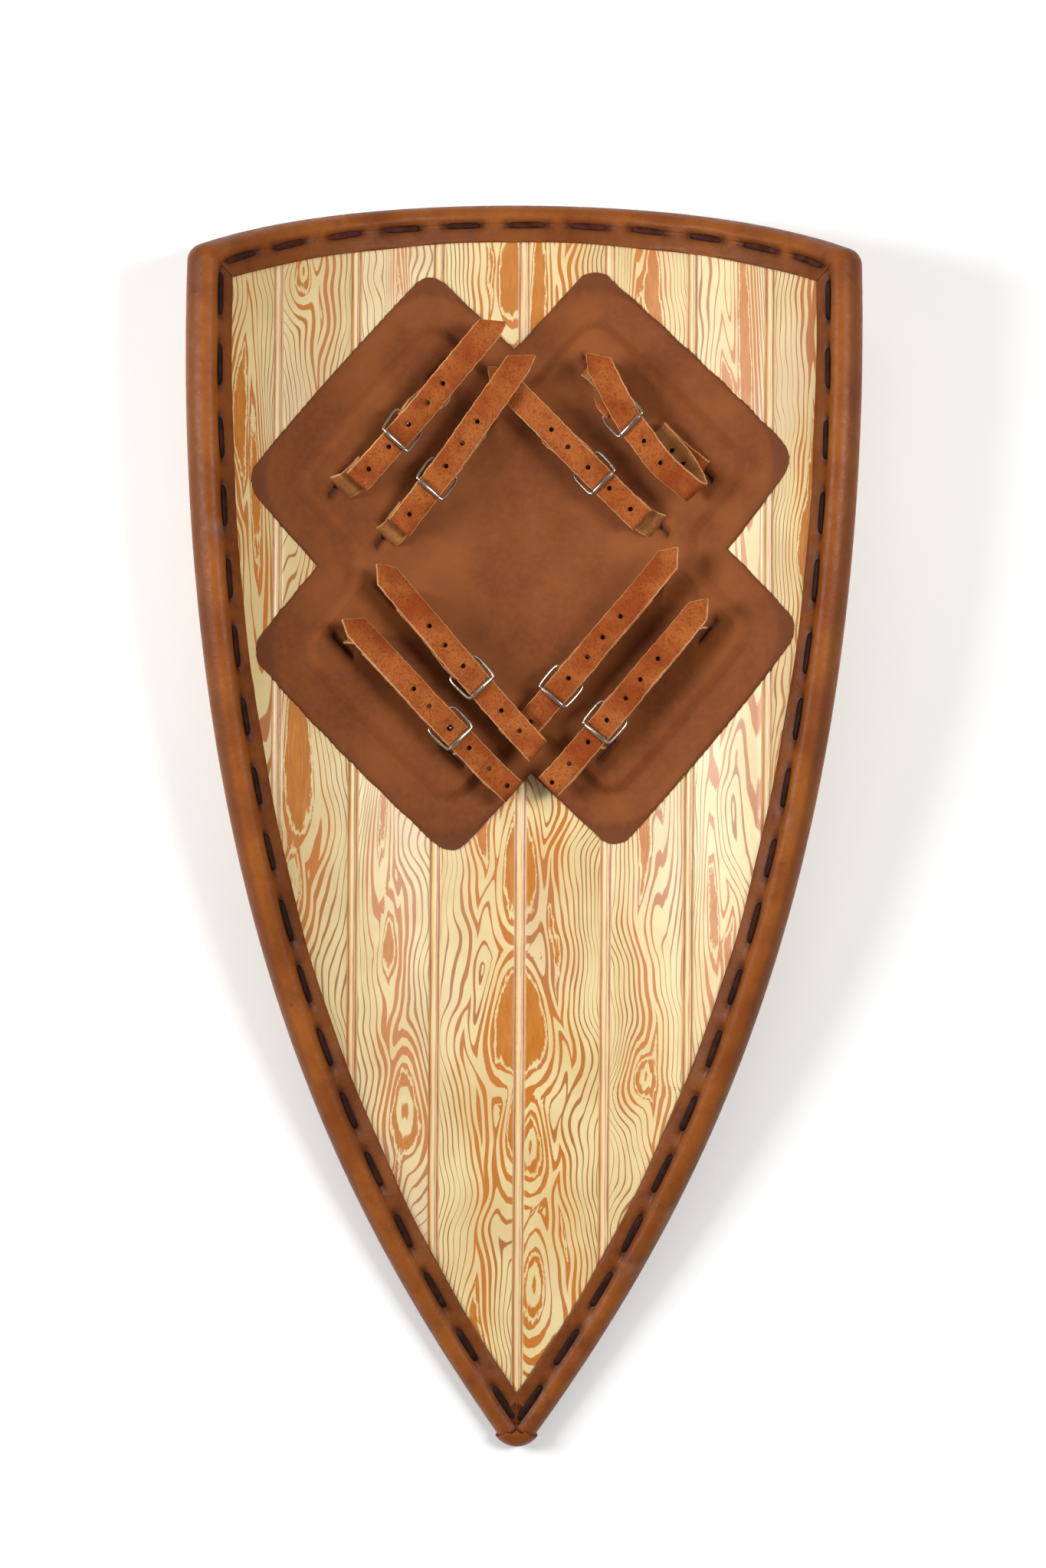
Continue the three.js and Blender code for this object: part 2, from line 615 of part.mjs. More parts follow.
// The billet: out of its slot, round its slack, under the roller, over the heel and on to its point
function billetStations(strap) {
  const { bar, tip, high, crest, tipHigh, heel } = strap;
  const path = [{ t: -SLOT, h: SLOT_FLOOR, inSlot: true }, { t: -SLOT, h: 1.5, inSlot: true }];
  if (strap.slack === 'tucked') {
    const fold = LAYER / 2;
    path.push({ t: -SLOT + 3.5, h: 6.5, drift: 0.2 }, { t: -SLOT + 20, h: 9 });
    path.push(...halfTurn(-SLOT + 26, 9 + fold, fold, 1));
    path.push(...halfTurn(-SLOT + 14, 9 + LAYER + fold, fold, -1));
    path.push({ t: -SLOT + 24, h: 9 + 2 * LAYER + 1 });
  } else if (strap.slack === 'folded') {
    const radius = strap.foldRadius ?? 7;
    const low = strap.foldLow ?? 7;
    path.push({ t: -SLOT - 3, h: low * 0.8, drift: 0.1 }, { t: -SLOT - 14, h: low + 1, drift: 0.6 });
    path.push(...halfTurn(strap.fold + radius, low + radius, radius, -1));
  } else {
    const fold = LAYER / 2;
    const under = 16;
    const over = under + LAYER;
    const loop = 11;
    path.push({ t: -SLOT + 5, h: 7, drift: 0.1 }, { t: -SLOT + 18, h: under - 3, drift: 0.4 });
    path.push({ t: -SLOT + 40, h: under, drift: 0.8 });
    path.push(...halfTurn(-SLOT + 50, under + fold, fold, 1));
    path.push({ t: -SLOT + 34, h: over + 1, roll: 6 }, { t: -SLOT + 12, h: over + 3, roll: 12 });
    path.push(...halfTurn(strap.fold + loop, over + 3 + loop, loop, -1).map((one) => ({ ...one, roll: 15 })));
    path.push({ t: (strap.fold + bar) / 2, h: high + 8, roll: 7 });
  }
  strap.topLayer = path.length - 1;
  path.push({ t: bar - 11, h: high - 1.5 }, { t: bar, h: high }, { t: bar + 12, h: high + 1.6 });
  path.push({ t: heel, h: high + 5.4 });
  const rest = tip - 15 - heel;
  if (rest > 60) path.push({ t: heel + rest * 0.35, h: crest });
  path.push({ t: heel + rest * 0.7, h: crest + (tipHigh - crest) * 0.4 });
  path.push({ t: tip - 15, h: tipHigh + (crest - tipHigh) * 0.3 });
  path.push({ t: tip, h: tipHigh, half: 0.8, skew: strap.point });
  return path.map((one) => {
    const drift = one.inSlot ? 0 : one.drift ?? 1;
    return { ...one, u: THREE.MathUtils.lerp(strap.row, strap.leanAt(one.t), drift) };
  });
}

// Holes every HOLE_PITCH along the visible layer of a billet
function punchHoles(strap, path, body) {
  const top = path.slice(strap.topLayer);
  let punched = body;
  for (let k = -5; k <= 2; k += 1) {
    const t = HOLE_FIRST + k * HOLE_PITCH;
    const next = top.findIndex((one) => one.t > t);
    if (next < 1 || top[next].t > strap.tip - 20) continue;
    const share = (t - top[next - 1].t) / (top[next].t - top[next - 1].t);
    const h = THREE.MathUtils.lerp(top[next - 1].h, top[next].h, share);
    const isProngHole = strap.prongUp && Math.abs(t - strap.bar - PRONG_HOLE) < HOLE_PITCH / 2;
    const where = isProngHole ? strap.bar + PRONG_HOLE : t;
    if (!isProngHole && Math.abs(t - strap.bar) < ROLLER_RADIUS + HOLE_RADIUS) continue;
    const radius = isProngHole ? PRONG_RADIUS * 2.4 : HOLE_RADIUS;
    const place = strap.at(where, strap.leanAt(where), h);
    const high = strap.at(where, strap.leanAt(where), h + 1).sub(place).normalize();
    const along = strap.at(where + 1, strap.leanAt(where), h).sub(place).normalize();
    const side = high.clone().cross(along).normalize();
    const forward = side.clone().cross(high).normalize();
    const corner = radius / Math.SQRT2 * 1.1;
    const depth = STRAP_THICK * 0.85;
    const cut = boxIn(place, [forward, side, high], [-corner, -corner, -depth], [corner, corner, depth]);
    punched = punched.subtract(solid(cut));
  }
  return punched;
}

// The chape: out of the other slot, under the billet, and round the buckle's heel
function chape(strap) {
  const { heel, heelHigh } = strap;
  const u = strap.leanAt(strap.bar);
  const gap = SLOT - heel;
  const path = [{ t: SLOT, h: SLOT_FLOOR, inSlot: true }, { t: SLOT, h: 1.5, inSlot: true }];
  path.push({ t: SLOT - 4, h: 5 }, { t: SLOT - Math.min(16, gap * 0.3), h: 8 });
  if (gap > 70) path.push({ t: heel + gap * 0.45, h: 8 + (heelHigh - 12) * 0.45 });
  path.push({ t: heel + 15, h: heelHigh - WRAP - 0.6 }, { t: heel + 2, h: heelHigh - WRAP });
  path.push(...halfTurn(heel, heelHigh, WRAP / Math.cos(30 * DEGREE), -1));
  path.push({ t: heel + 2, h: heelHigh + WRAP }, { t: heel + 11, h: heelHigh + STRAP_THICK / 2 + GAP });
  const stations = path.map((one) => {
    const share = THREE.MathUtils.clamp((SLOT - one.t) / Math.max(gap - 15, 1), 0, 1);
    return { ...one, u: one.inSlot ? strap.row : THREE.MathUtils.lerp(strap.row, u, share) };
  });
  const { along, across, up } = strap.axes;
  const heelPlace = strap.at(heel, u, heelHigh);
  const side = PRONG_RADIUS + 2 * GAP;
  const cut = boxIn(heelPlace, [along, across, up],
    [-WRAP - STRAP_THICK, -side, -WRAP - STRAP_THICK], [WRAP + STRAP_THICK, side, WRAP + STRAP_THICK]);
  return skin(solid(band(strap, stations)).subtract(solid(cut)));
}

// The buckle's wire frame: a rounded loop from the roller down to the heel
function buckleFrame(strap) {
  const { across } = strap.axes;
  const top = rollerPlace(strap);
  const bottom = strap.at(strap.heel, strap.leanAt(strap.bar), strap.heelHigh);
  const forward = bottom.clone().sub(top);
  const long = forward.length();
  forward.normalize();
  const c = FRAME_CORNER;
  const half = [[0, BAR_SHARE], [0.35 * c, 1], [long / 2, 1.05], [long - 0.6 * c, 1.02], [long, 0.88]];
  const outline = half.map(([x, share]) => [x, share * FRAME_HALF]);
  outline.push(...half.toReversed().map(([x, share]) => [x, -share * FRAME_HALF]));
  const points = outline.map(([x, w]) => top.clone().addScaledVector(forward, x).addScaledVector(across, w));
  const normal = forward.clone().cross(across).normalize();
  return wire(points, normal, WIRE_RADIUS, 5, true);
}

// The middle of the roller, resting on the billet
function rollerPlace(strap) {
  const h = strap.high + STRAP_THICK / 2 + GAP + ROLLER_RADIUS + GAP;
  return strap.at(strap.bar, strap.leanAt(strap.bar), h);
}

// The roller: a short tube on the frame's outer bar
function roller(strap) {
  const inner = WIRE_RADIUS + GAP;
  const half = FRAME_HALF * BAR_SHARE - WIRE_RADIUS - GAP;
  const profile = [[inner, -half], [ROLLER_RADIUS, -half], [ROLLER_RADIUS, half], [inner, half], [inner, -half]];
  const tube = new THREE.LatheGeometry(profile.map(([x, y]) => new THREE.Vector2(x, y)), 7);
  const { along, across, up } = strap.axes;
  tube.applyMatrix4(new THREE.Matrix4().makeBasis(along, across, up));
  tube.translate(...rollerPlace(strap).toArray());
  return skin(solid(facingOut(tube)));
}

// The prong: hooked round the heel, lying under the billet or standing in one of its holes
function prong(strap) {
  const { bar, heel, heelHigh, high } = strap;
  const ring = WIRE_RADIUS + GAP + PRONG_RADIUS;
  const path = [-100, -40, 20, 80].map((angle) => ({
    t: heel + ring * Math.cos(angle * DEGREE),
    h: heelHigh + ring * Math.sin(angle * DEGREE),
  }));
  if (strap.prongUp) {
    path.push({ t: bar + PRONG_HOLE + 3.5, h: high - 1.2 }, { t: bar + PRONG_HOLE + 0.6, h: high - 0.4 });
    path.push({ t: bar + PRONG_HOLE - 0.4, h: high + 4.6 });
  } else {
    path.push({ t: bar + 3, h: high - STRAP_THICK / 2 - 2 * GAP - PRONG_RADIUS });
  }
  const points = path.map(({ t, h }) => strap.at(t, strap.leanAt(bar), h));
  return wire(points, strap.axes.across, PRONG_RADIUS, 4, false);
}

const FINISHES = {
  printed_foam: { color: '#dccb98', roughness: 0.42, metalness: 0 },
  rim_leather: { color: '#8f4f2b', roughness: 0.6, metalness: 0 },
  pad_leather: { color: '#83482a', roughness: 0.72, metalness: 0 },
  strap_leather: { color: '#b5683a', roughness: 0.8, metalness: 0 },
  steel: { color: '#c9c7c2', roughness: 0.2, metalness: 1 },
};

const shield = new THREE.Group();

function place(name, geometry, finish) {
  const flat = geometry.index ? geometry.toNonIndexed() : geometry;
  flat.computeVertexNormals();
  const mesh = new THREE.Mesh(flat, new THREE.MeshStandardMaterial(FINISHES[finish]));
  mesh.name = name;
  shield.add(mesh);
}

const { rim, low } = rimLeather();
place('foam_board', foamBoard(), 'printed_foam');
place('rim_leather', rim, 'rim_leather');
place('arm_pad', armPad(STRAPS), 'pad_leather');
for (const strap of STRAPS) {
  strap.rollWay = Math.sign(strap.axes.along.clone().cross(strap.axes.across).dot(strap.axes.up));
  const path = billetStations(strap);
  place(`${strap.name}_billet`, skin(punchHoles(strap, path, solid(band(strap, path)))), 'strap_leather');
  place(`${strap.name}_chape`, chape(strap), 'strap_leather');
  place(`${strap.name}_buckle_frame`, buckleFrame(strap), 'steel');
  place(`${strap.name}_buckle_roller`, roller(strap), 'steel');
  place(`${strap.name}_buckle_prong`, prong(strap), 'steel');
}

// The origin is on the ground under the middle of the whole shield
const bounds = new THREE.Box3().setFromObject(shield);
const middle = bounds.getCenter(new THREE.Vector3());
shield.position.set(-middle.x, -middle.y, -low);

export default shield;
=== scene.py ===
# %% [markdown]
# # A heater shield, seen from its hollow back
# The shield lies on its bulging front and the camera looks straight down into its hollow back.
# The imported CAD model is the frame: it says where every piece is. This script builds the finer
# shapes that the eye sees, stands them in for the CAD solids, and gives each one its finish.

# %% Load the frame
import math
import bmesh
import bpy
import numpy as np
from mathutils import Matrix, Vector


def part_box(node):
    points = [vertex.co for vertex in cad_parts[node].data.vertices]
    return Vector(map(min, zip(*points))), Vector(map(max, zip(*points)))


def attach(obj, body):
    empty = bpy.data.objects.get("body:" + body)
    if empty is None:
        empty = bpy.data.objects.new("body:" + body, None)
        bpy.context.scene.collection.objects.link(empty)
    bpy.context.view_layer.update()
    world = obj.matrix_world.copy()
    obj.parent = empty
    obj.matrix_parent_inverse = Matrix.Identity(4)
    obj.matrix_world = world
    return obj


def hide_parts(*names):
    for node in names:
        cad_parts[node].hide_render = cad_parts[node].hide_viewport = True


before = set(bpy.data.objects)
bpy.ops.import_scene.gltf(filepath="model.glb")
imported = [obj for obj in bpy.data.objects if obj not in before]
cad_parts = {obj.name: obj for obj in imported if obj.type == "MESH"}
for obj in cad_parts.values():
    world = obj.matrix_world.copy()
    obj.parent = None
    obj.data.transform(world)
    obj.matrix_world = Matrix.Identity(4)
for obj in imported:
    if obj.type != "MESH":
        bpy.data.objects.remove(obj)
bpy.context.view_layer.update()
print("CAD nodes:", len(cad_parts))

# %% [markdown]
# ## The sizes that everything follows
# The shield is easiest to describe flat: s runs across the back, v runs up it and b rises out of
# the hollow. One function bends such a flat place round the shield's curve. The sizes are real
# millimetres. Most are the same as in the CAD source, and the rim's strip and roll are narrower
# here, as the photograph shows them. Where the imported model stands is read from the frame.

# %% Real sizes in millimetres
MM = 0.001
GAP = 0.3

# The outline, the bend and the board
LENGTH = 1094
HALF_ROUND = 304.7
SIDE_RADIUS = 1696
TOP_RADIUS = 815
CORNER_RADIUS = 1
TIP_RADIUS = 8
BACK_RADIUS = 350
BOARD_THICK = 20
PLANK_PITCH = 77
GROOVE_HALF = 6
GROOVE_DEEP = 1.6

# The rim and its lace
BEAD_HALF_WIDE = 14.5
BEAD_HALF_THICK = 15.5
ROLL_HALF_WIDE = 11.5
ROLL_MIDDLE = BEAD_HALF_WIDE - ROLL_HALF_WIDE
RIM_LEATHER = 2.5
RIM_INNER_EDGE = 20.5
TOP_STITCHES = 11
SIDE_STITCHES = 18
STITCH_LONG = 36
STITCH_WIDE = 5.8
STITCH_INSET = 6.5
STITCH_INSET_TOP = 5

# The arm pad
PAD_BELOW_TOP = 308
PAD_TURN = math.radians(47.6)
PAD_ACROSS = 480
PAD_ARM_WIDE = 270
PAD_CORNER_RADIUS = 20
PAD_LEATHER = 3
PAD_RISE = 8
PAD_BORDER = 30
PAD_SLOPE = 10

# The straps and buckles
STRAP_WIDE = 24
STRAP_THICK = 2.8
SLOT = 72
OUTER_ROW = 171
INNER_ROW = 109
SLOT_DEEP = 8
WIRE_RADIUS = 1.4
FRAME_LONG = 25
ROLLER_RADIUS = 2.1
PRONG_RADIUS = 1.1

# What follows from them
SIDE_CENTRE_S = HALF_ROUND - SIDE_RADIUS
SIDE_CENTRE_V = -LENGTH / 2 + math.sqrt(SIDE_RADIUS ** 2 - SIDE_CENTRE_S ** 2)
TOP_CENTRE_V = LENGTH / 2 - TOP_RADIUS
PAD_V = LENGTH / 2 - PAD_BELOW_TOP
PAD_TOP = GAP + PAD_LEATHER + PAD_RISE
BOARD_MIDDLE = -BOARD_THICK / 2

pad_low, pad_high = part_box("arm_pad")
SHIFT_V = (pad_low.y + pad_high.y) / 2 / MM - PAD_V
LIFT = pad_low.z / MM - GAP
print(f"back stands {LIFT:.2f} mm over the ground, shifted {SHIFT_V:.2f} mm")

# %% [markdown]
# ## Bending
# The real board is pressed round a form. A bend modifier or a lattice could curve the finished
# meshes here, but a function that bends single places gives every piece the same curve exactly, and
# it can be tested with one place: the middle of the back, which lies on the shield's middle line.

# %% Bend a flat place round the shield
def bend(s, v, b):
    """Flat places in millimetres, single or in arrays, as bent places in metres."""
    s, v, b = np.broadcast_arrays(np.asarray(s, float), v, b)
    turn = s / BACK_RADIUS
    reach = BACK_RADIUS - b
    x = reach * np.sin(turn)
    z = BACK_RADIUS - reach * np.cos(turn) + LIFT
    return np.stack([x, v + SHIFT_V, z], axis=-1) * MM


print("middle of the back:", bend(0, 0, 0))

# %% [markdown]
# ## Turning arrays into meshes
# Most pieces here are sheets or tubes: rows of points joined by four-sided faces. One helper turns
# such a grid into a mesh, and another one makes the Blender object, lets it ride on the shield,
# and hides the CAD nodes it stands in for.

# %% Mesh helpers
def grid_faces(rows, columns, closed_rows=False, closed_columns=False):
    """Four-sided faces over a grid of points, as index arrays."""
    row = np.arange(rows if closed_rows else rows - 1)
    column = np.arange(columns if closed_columns else columns - 1)
    r, c = np.meshgrid(row, column, indexing="ij")
    r_next = (r + 1) % rows
    c_next = (c + 1) % columns
    faces = np.stack([r * columns + c, r * columns + c_next,
                      r_next * columns + c_next, r_next * columns + c], axis=-1)
    return faces.reshape(-1, 4)


def make_piece(name, points, faces, materials, stands_for=(), face_slots=None, smooth=True):
    """A mesh object in the shield's frame, in metres."""
    mesh = bpy.data.meshes.new(name)
    mesh.from_pydata([tuple(p) for p in points], [], [tuple(int(i) for i in f) for f in faces])
    mesh.validate()
    for material in materials:
        mesh.materials.append(material)
    if face_slots is not None:
        mesh.polygons.foreach_set("material_index", np.asarray(face_slots, dtype=np.int32))
    mesh.polygons.foreach_set("use_smooth", np.full(len(mesh.polygons), smooth))
    make_normals_point_out(mesh)
    piece = bpy.data.objects.new(name, mesh)
    bpy.context.collection.objects.link(piece)
    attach(piece, "root")
    if stands_for:
        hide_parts(*stands_for)
    return piece


def make_normals_point_out(mesh):
    """Faces of one closed or open shell all face the same way, outwards."""
    shell = bmesh.new()
    shell.from_mesh(mesh)
    bmesh.ops.recalc_face_normals(shell, faces=shell.faces)
    shell.to_mesh(mesh)
    shell.free()


def store(piece, name, values):
    """A number or a vector for each vertex, which the materials read."""
    values = np.asarray(values, float)
    kind = "FLOAT_VECTOR" if values.ndim == 2 else "FLOAT"
    layer = piece.data.attributes.new(name, kind, "POINT")
    layer.data.foreach_set("vector" if values.ndim == 2 else "value", values.ravel())


def smooth_step(value):
    value = np.clip(value, 0, 1)
    return value * value * (3 - 2 * value)


print("helpers ready")

# %% [markdown]
# ## Colours and nodes
# Colours are written as sRGB hex, as a colour picker shows them, but Blender's shaders work in
# linear light, so one function converts them. Every material here is a small tree of nodes. It
# could be built by hand in the shader editor, but one function that adds a node, sets it and links
# it keeps a whole recipe readable from top to bottom.

# %% Colours and a function that adds a node
def colour(code):
    """An sRGB hex colour as linear red, green, blue and alpha."""
    parts = [int(code[i:i + 2], 16) / 255 for i in (1, 3, 5)]
    linear = [p / 12.92 if p <= 0.04045 else ((p + 0.055) / 1.055) ** 2.4 for p in parts]
    return (*linear, 1.0)


def pick(sockets, key):
    """A socket by its number, or by its identifier or name."""
    if isinstance(key, int):
        return sockets[key]
    return next(one for one in sockets if key in (one.identifier, one.name))


class Finish:
    """A material with a Principled shader at its end."""

    def __init__(self, name, roughness, ior=None, metallic=0.0):
        self.material = bpy.data.materials.new(name)
        self.material.use_nodes = True
        self.tree = self.material.node_tree
        self.tree.nodes.clear()
        self.shader = self.tree.nodes.new("ShaderNodeBsdfPrincipled")
        self.shader.inputs["Roughness"].default_value = roughness
        self.shader.inputs["Metallic"].default_value = metallic
        if ior is not None:
            self.shader.inputs["IOR"].default_value = ior
        output = self.tree.nodes.new("ShaderNodeOutputMaterial")
        self.link(self.shader.outputs["BSDF"], output.inputs["Surface"])

    def add(self, kind, inputs=(), output=0, **settings):
        """Adds a node and gives back one of its outputs. An input that is a socket is linked, and any
        other is set. Inputs are a row in the node's own order, or named ones in braces."""
        node = self.tree.nodes.new("ShaderNode" + kind)
        for name, value in settings.items():
            setattr(node, name, value)
        pairs = inputs.items() if isinstance(inputs, dict) else enumerate(inputs)
        for key, value in pairs:
            target = pick(node.inputs, key)
            if isinstance(value, bpy.types.NodeSocket):
                self.link(value, target)
            else:
                target.default_value = colour(value) if isinstance(value, str) else value
        return pick(node.outputs, output)

    def link(self, output, target):
        self.tree.links.new(output, target)


SOFT = {"interpolation_type": "SMOOTHSTEP"}
IN_COLOUR = {"data_type": "RGBA", "output": "Result_Color"}
print("cream of the planks:", [round(c, 3) for c in colour("#E0D09C")])

# %% [markdown]
# ## Patterns that every finish shares
# Real surfaces are never one flat colour. Three small patterns do most of the work here: blotches
# of a real size in millimetres, a tint that follows them, and a relief that lets light catch them.
# Photographs of leather and wood could be wrapped round instead, but nodes stay sharp at any
# distance and need no unwrapping.

# %% Blotches, tints and reliefs
def blotches(finish, place, size_mm, detail=3.0, rough=0.55, stretch=(1, 1, 1), distortion=0.0):
    """Noise whose blotches are about size_mm across, drawn out by the stretch. Place is in metres."""
    scaled = finish.add("Mapping", {"Vector": place, "Scale": stretch})
    return finish.add("TexNoise", {"Vector": scaled, "Scale": 1 / (size_mm * MM), "Detail": detail,
                                   "Roughness": rough, "Distortion": distortion}, "Fac")


def tint(finish, value, low, high, first, second, start=0.0, stop=1.0):
    """A colour that passes softly from first to second while the value passes from low to high."""
    share = finish.add("MapRange", (value, low, high, start, stop), **SOFT)
    return finish.add("Mix", {"Factor_Float": share, "A_Color": first, "B_Color": second}, **IN_COLOUR)


def complete(finish, base, *reliefs):
    """Links the colour and stacks the reliefs: each is a height from 0 to 1 and its depth in millimetres."""
    finish.link(base, finish.shader.inputs["Base Color"])
    normal = None
    for height, depth in reliefs:
        inputs = {"Height": height, "Distance": depth * MM, "Strength": 1.0}
        if normal is not None:
            inputs["Normal"] = normal
        normal = finish.add("Bump", inputs, "Normal")
    finish.link(normal, finish.shader.inputs["Normal"])
    print("made", finish.material.name, "with", len(finish.tree.nodes), "nodes")
    return finish.material


print("patterns ready")

# %% [markdown]
# ## The printed planks' finish
# The board is foam with a wood print under clear latex. Latex has an index of refraction of about
# 1.5 and a soft gloss, so the print looks a little wet. The print is drawn by rings of growth: each
# plank has a growth value that rises from its middle to its edges, and a line is drawn where that
# value passes a whole number. Knots push the lines aside, so they close into ovals around them.
# A wave texture could draw stripes too, but its stripes can't part round a knot. The mesh stores
# how hard the knots push at each place, and the nodes turn that into lines.

# %% A value that grows outwards in each plank
PLANKS = Finish("printed_foam", roughness=0.36, ior=1.5)
flat_place = PLANKS.add("Attribute", output="Vector", attribute_name="flat_place")
pull = PLANKS.add("Attribute", output="Fac", attribute_name="cathedral_pull")
around_knot = PLANKS.add("Attribute", output="Fac", attribute_name="knot_growth")
across_back = PLANKS.add("Math", (PLANKS.add("SeparateXYZ", (flat_place,), "X"), MM), operation="DIVIDE")
in_planks = PLANKS.add("Math", (across_back, PLANK_PITCH), operation="DIVIDE")
plank = PLANKS.add("Math", (in_planks,), operation="FLOOR")
half_on = PLANKS.add("Math", (plank, 0.5), operation="ADD")
plank_middle = PLANKS.add("Math", (half_on, PLANK_PITCH), operation="MULTIPLY")

# Each plank reads the noise at a place of its own, so no two planks look alike
up_by = PLANKS.add("Math", (plank, 1.7), operation="MULTIPLY")
plank_offset = PLANKS.add("CombineXYZ", (0.0, up_by, plank))
own_place = PLANKS.add("VectorMath", (flat_place, plank_offset), operation="ADD")
sway = blotches(PLANKS, own_place, 160, detail=2, stretch=(0.25, 1, 1))
sway_mm = PLANKS.add("MapRange", (sway, 0.3, 0.7, -12, 12), **SOFT)
wobble = blotches(PLANKS, own_place, 30, detail=2, stretch=(1, 0.3, 1))
wobble_mm = PLANKS.add("MapRange", (wobble, 0.2, 0.8, -1.7, 1.7), **SOFT)

off_middle = PLANKS.add("Math", (across_back, plank_middle), operation="SUBTRACT")
shifted = PLANKS.add("Math", (off_middle, sway_mm), operation="ADD")
outwards = PLANKS.add("Math", (shifted,), operation="ABSOLUTE")
growth = PLANKS.add("Math", (outwards, pull), operation="SUBTRACT")
growth = PLANKS.add("Math", (growth, around_knot, 9.0), operation="SMOOTH_MIN")
growth = PLANKS.add("Math", (growth, wobble_mm), operation="ADD")
print("growth value takes", len(PLANKS.tree.nodes), "nodes")

# %% [markdown]
# ## Lines where the growth passes whole numbers
# On a real board the rings lie wide apart at the middle and close together at the edges, and each
# line is thick where the ring was cut at a low angle. So the ring count rises faster further out,
# and a slow noise makes each line swell and thin along its way.

# %% The lines of the grain
RING_WIDE = 7.2
RING_CROWD = 0.0014
magnitude = PLANKS.add("Math", (growth,), operation="ABSOLUTE")
squared = PLANKS.add("Math", (growth, magnitude), operation="MULTIPLY")
crowded = PLANKS.add("Math", (squared, RING_CROWD), operation="MULTIPLY")
even = PLANKS.add("Math", (growth, RING_WIDE), operation="DIVIDE")
ring = PLANKS.add("Math", (even, crowded), operation="ADD")
within = PLANKS.add("Math", (PLANKS.add("Math", (ring,), operation="FRACT"), 0.5), operation="SUBTRACT")
near_line = PLANKS.add("Math", (within,), operation="ABSOLUTE")

swell = blotches(PLANKS, own_place, 45, detail=2, stretch=(2.2, 0.4, 1))
swelling = PLANKS.add("MapRange", (swell, 0.3, 0.7, 0.3, 1.3), **SOFT)
full_line = PLANKS.add("MapRange", (growth, 0, 26, 0.27, 0.12), **SOFT)
half_line = PLANKS.add("Math", (full_line, swelling), operation="MULTIPLY")
past_line = PLANKS.add("Math", (near_line, half_line), operation="SUBTRACT")
off_line = PLANKS.add("MapRange", (past_line, -0.035, 0.035, 0.0, 1.0), **SOFT)
line = PLANKS.add("Math", (1.0, off_line), operation="SUBTRACT")
print("lines lie", RING_WIDE, "mm apart near a plank's middle")

# %% [markdown]
# ## The print's colours
# The ground is cream, a little pinker and greyer in places, as if the ink had faded unevenly. The
# lines are orange near the plank's middle and browner towards its edges.

# %% Cream ground and brown lines
mottle = blotches(PLANKS, own_place, 90, detail=3)
cream = tint(PLANKS, mottle, 0.35, 0.65, "#DAC690", "#CFB67F")
pink = blotches(PLANKS, own_place, 130, detail=2, stretch=(1, 0.6, 1))
cream = tint(PLANKS, pink, 0.56, 0.72, cream, "#CFAE94", stop=0.5)
line_colour = tint(PLANKS, growth, 4, 26, "#B96D22", "#9C6432")
line_colour = tint(PLANKS, pink, 0.5, 0.7, line_colour, "#A56E4C", stop=0.7)
printed = PLANKS.add("Mix", {"Factor_Float": line, "A_Color": cream, "B_Color": line_colour}, **IN_COLOUR)
print("ground and lines coloured")

# %% [markdown]
# ## Orange hearts and pale eyes
# The innermost growth of a plank or a knot is a solid orange blotch with ragged ends, a pale
# outline and sometimes a pale eye. All of it follows from the same growth value, so a blotch always
# fits the lines around it.

# %% Hearts, outlines and eyes
eye = PLANKS.add("Attribute", output="Fac", attribute_name="knot_eye")
ragged = blotches(PLANKS, own_place, 9, detail=5, rough=0.7, stretch=(1.6, 0.35, 1))
ragged_mm = PLANKS.add("MapRange", (ragged, 0.2, 0.8, -2.6, 2.6), **SOFT)
inner = PLANKS.add("Math", (growth, ragged_mm), operation="ADD")
printed = tint(PLANKS, inner, -4.6, -3.8, printed, cream, start=1.0, stop=0.0)
orange = tint(PLANKS, ragged, 0.3, 0.75, "#B0660F", "#BE7826")
printed = tint(PLANKS, inner, -6.4, -5.4, printed, orange, start=1.0, stop=0.0)
ragged_eye = PLANKS.add("MapRange", (ragged, 0.2, 0.8, -0.08, 0.08), **SOFT)
solid_eye = PLANKS.add("Math", (eye, ragged_eye), operation="ADD")
printed = tint(PLANKS, solid_eye, 0.3, 0.38, printed, cream)
printed = tint(PLANKS, solid_eye, 0.78, 0.84, printed, orange)
print("hearts and eyes drawn")

# %% [markdown]
# ## Stripes along the grooves
# Between two planks the print has narrow stripes: a dark line in each cut, a light bead between
# them and tan bands outside. A colour ramp across the groove gives all of them at once, and a
# drawn-out noise lets their edges waver as hand-cut ones do.

# %% The grooves' stripes
STRIPES = ((0.0, "#D3B27C"), (0.1, "#9A5A2C"), (0.18, "#C88A48"), (0.32, "#D9BE88"), (0.46, "#DCC795"),
           (0.58, "#E0C39A"), (0.66, "#C4844A"), (0.78, "#E0C898"), (0.9, "#9A5A2C"), (1.0, "#D3B27C"))
from_groove = PLANKS.add("Math", (in_planks, 0.5), operation="ADD")
from_groove = PLANKS.add("Math", (from_groove,), operation="FRACT")
from_groove = PLANKS.add("Math", (from_groove, 0.5), operation="SUBTRACT")
from_groove = PLANKS.add("Math", (from_groove, PLANK_PITCH), operation="MULTIPLY")
streak = blotches(PLANKS, own_place, 7, detail=4, stretch=(3, 0.12, 1))
streak_mm = PLANKS.add("MapRange", (streak, 0.2, 0.8, -0.8, 0.8), **SOFT)
waver = PLANKS.add("Math", (from_groove, streak_mm), operation="ADD")
over_groove = PLANKS.add("MapRange", (waver, -GROOVE_HALF, GROOVE_HALF, 0.0, 1.0), **SOFT)
stripe_colour = PLANKS.add("ValToRGB", (over_groove,), "Color")
ramp = stripe_colour.node.color_ramp
while len(ramp.elements) < len(STRIPES):
    ramp.elements.new(0.5)
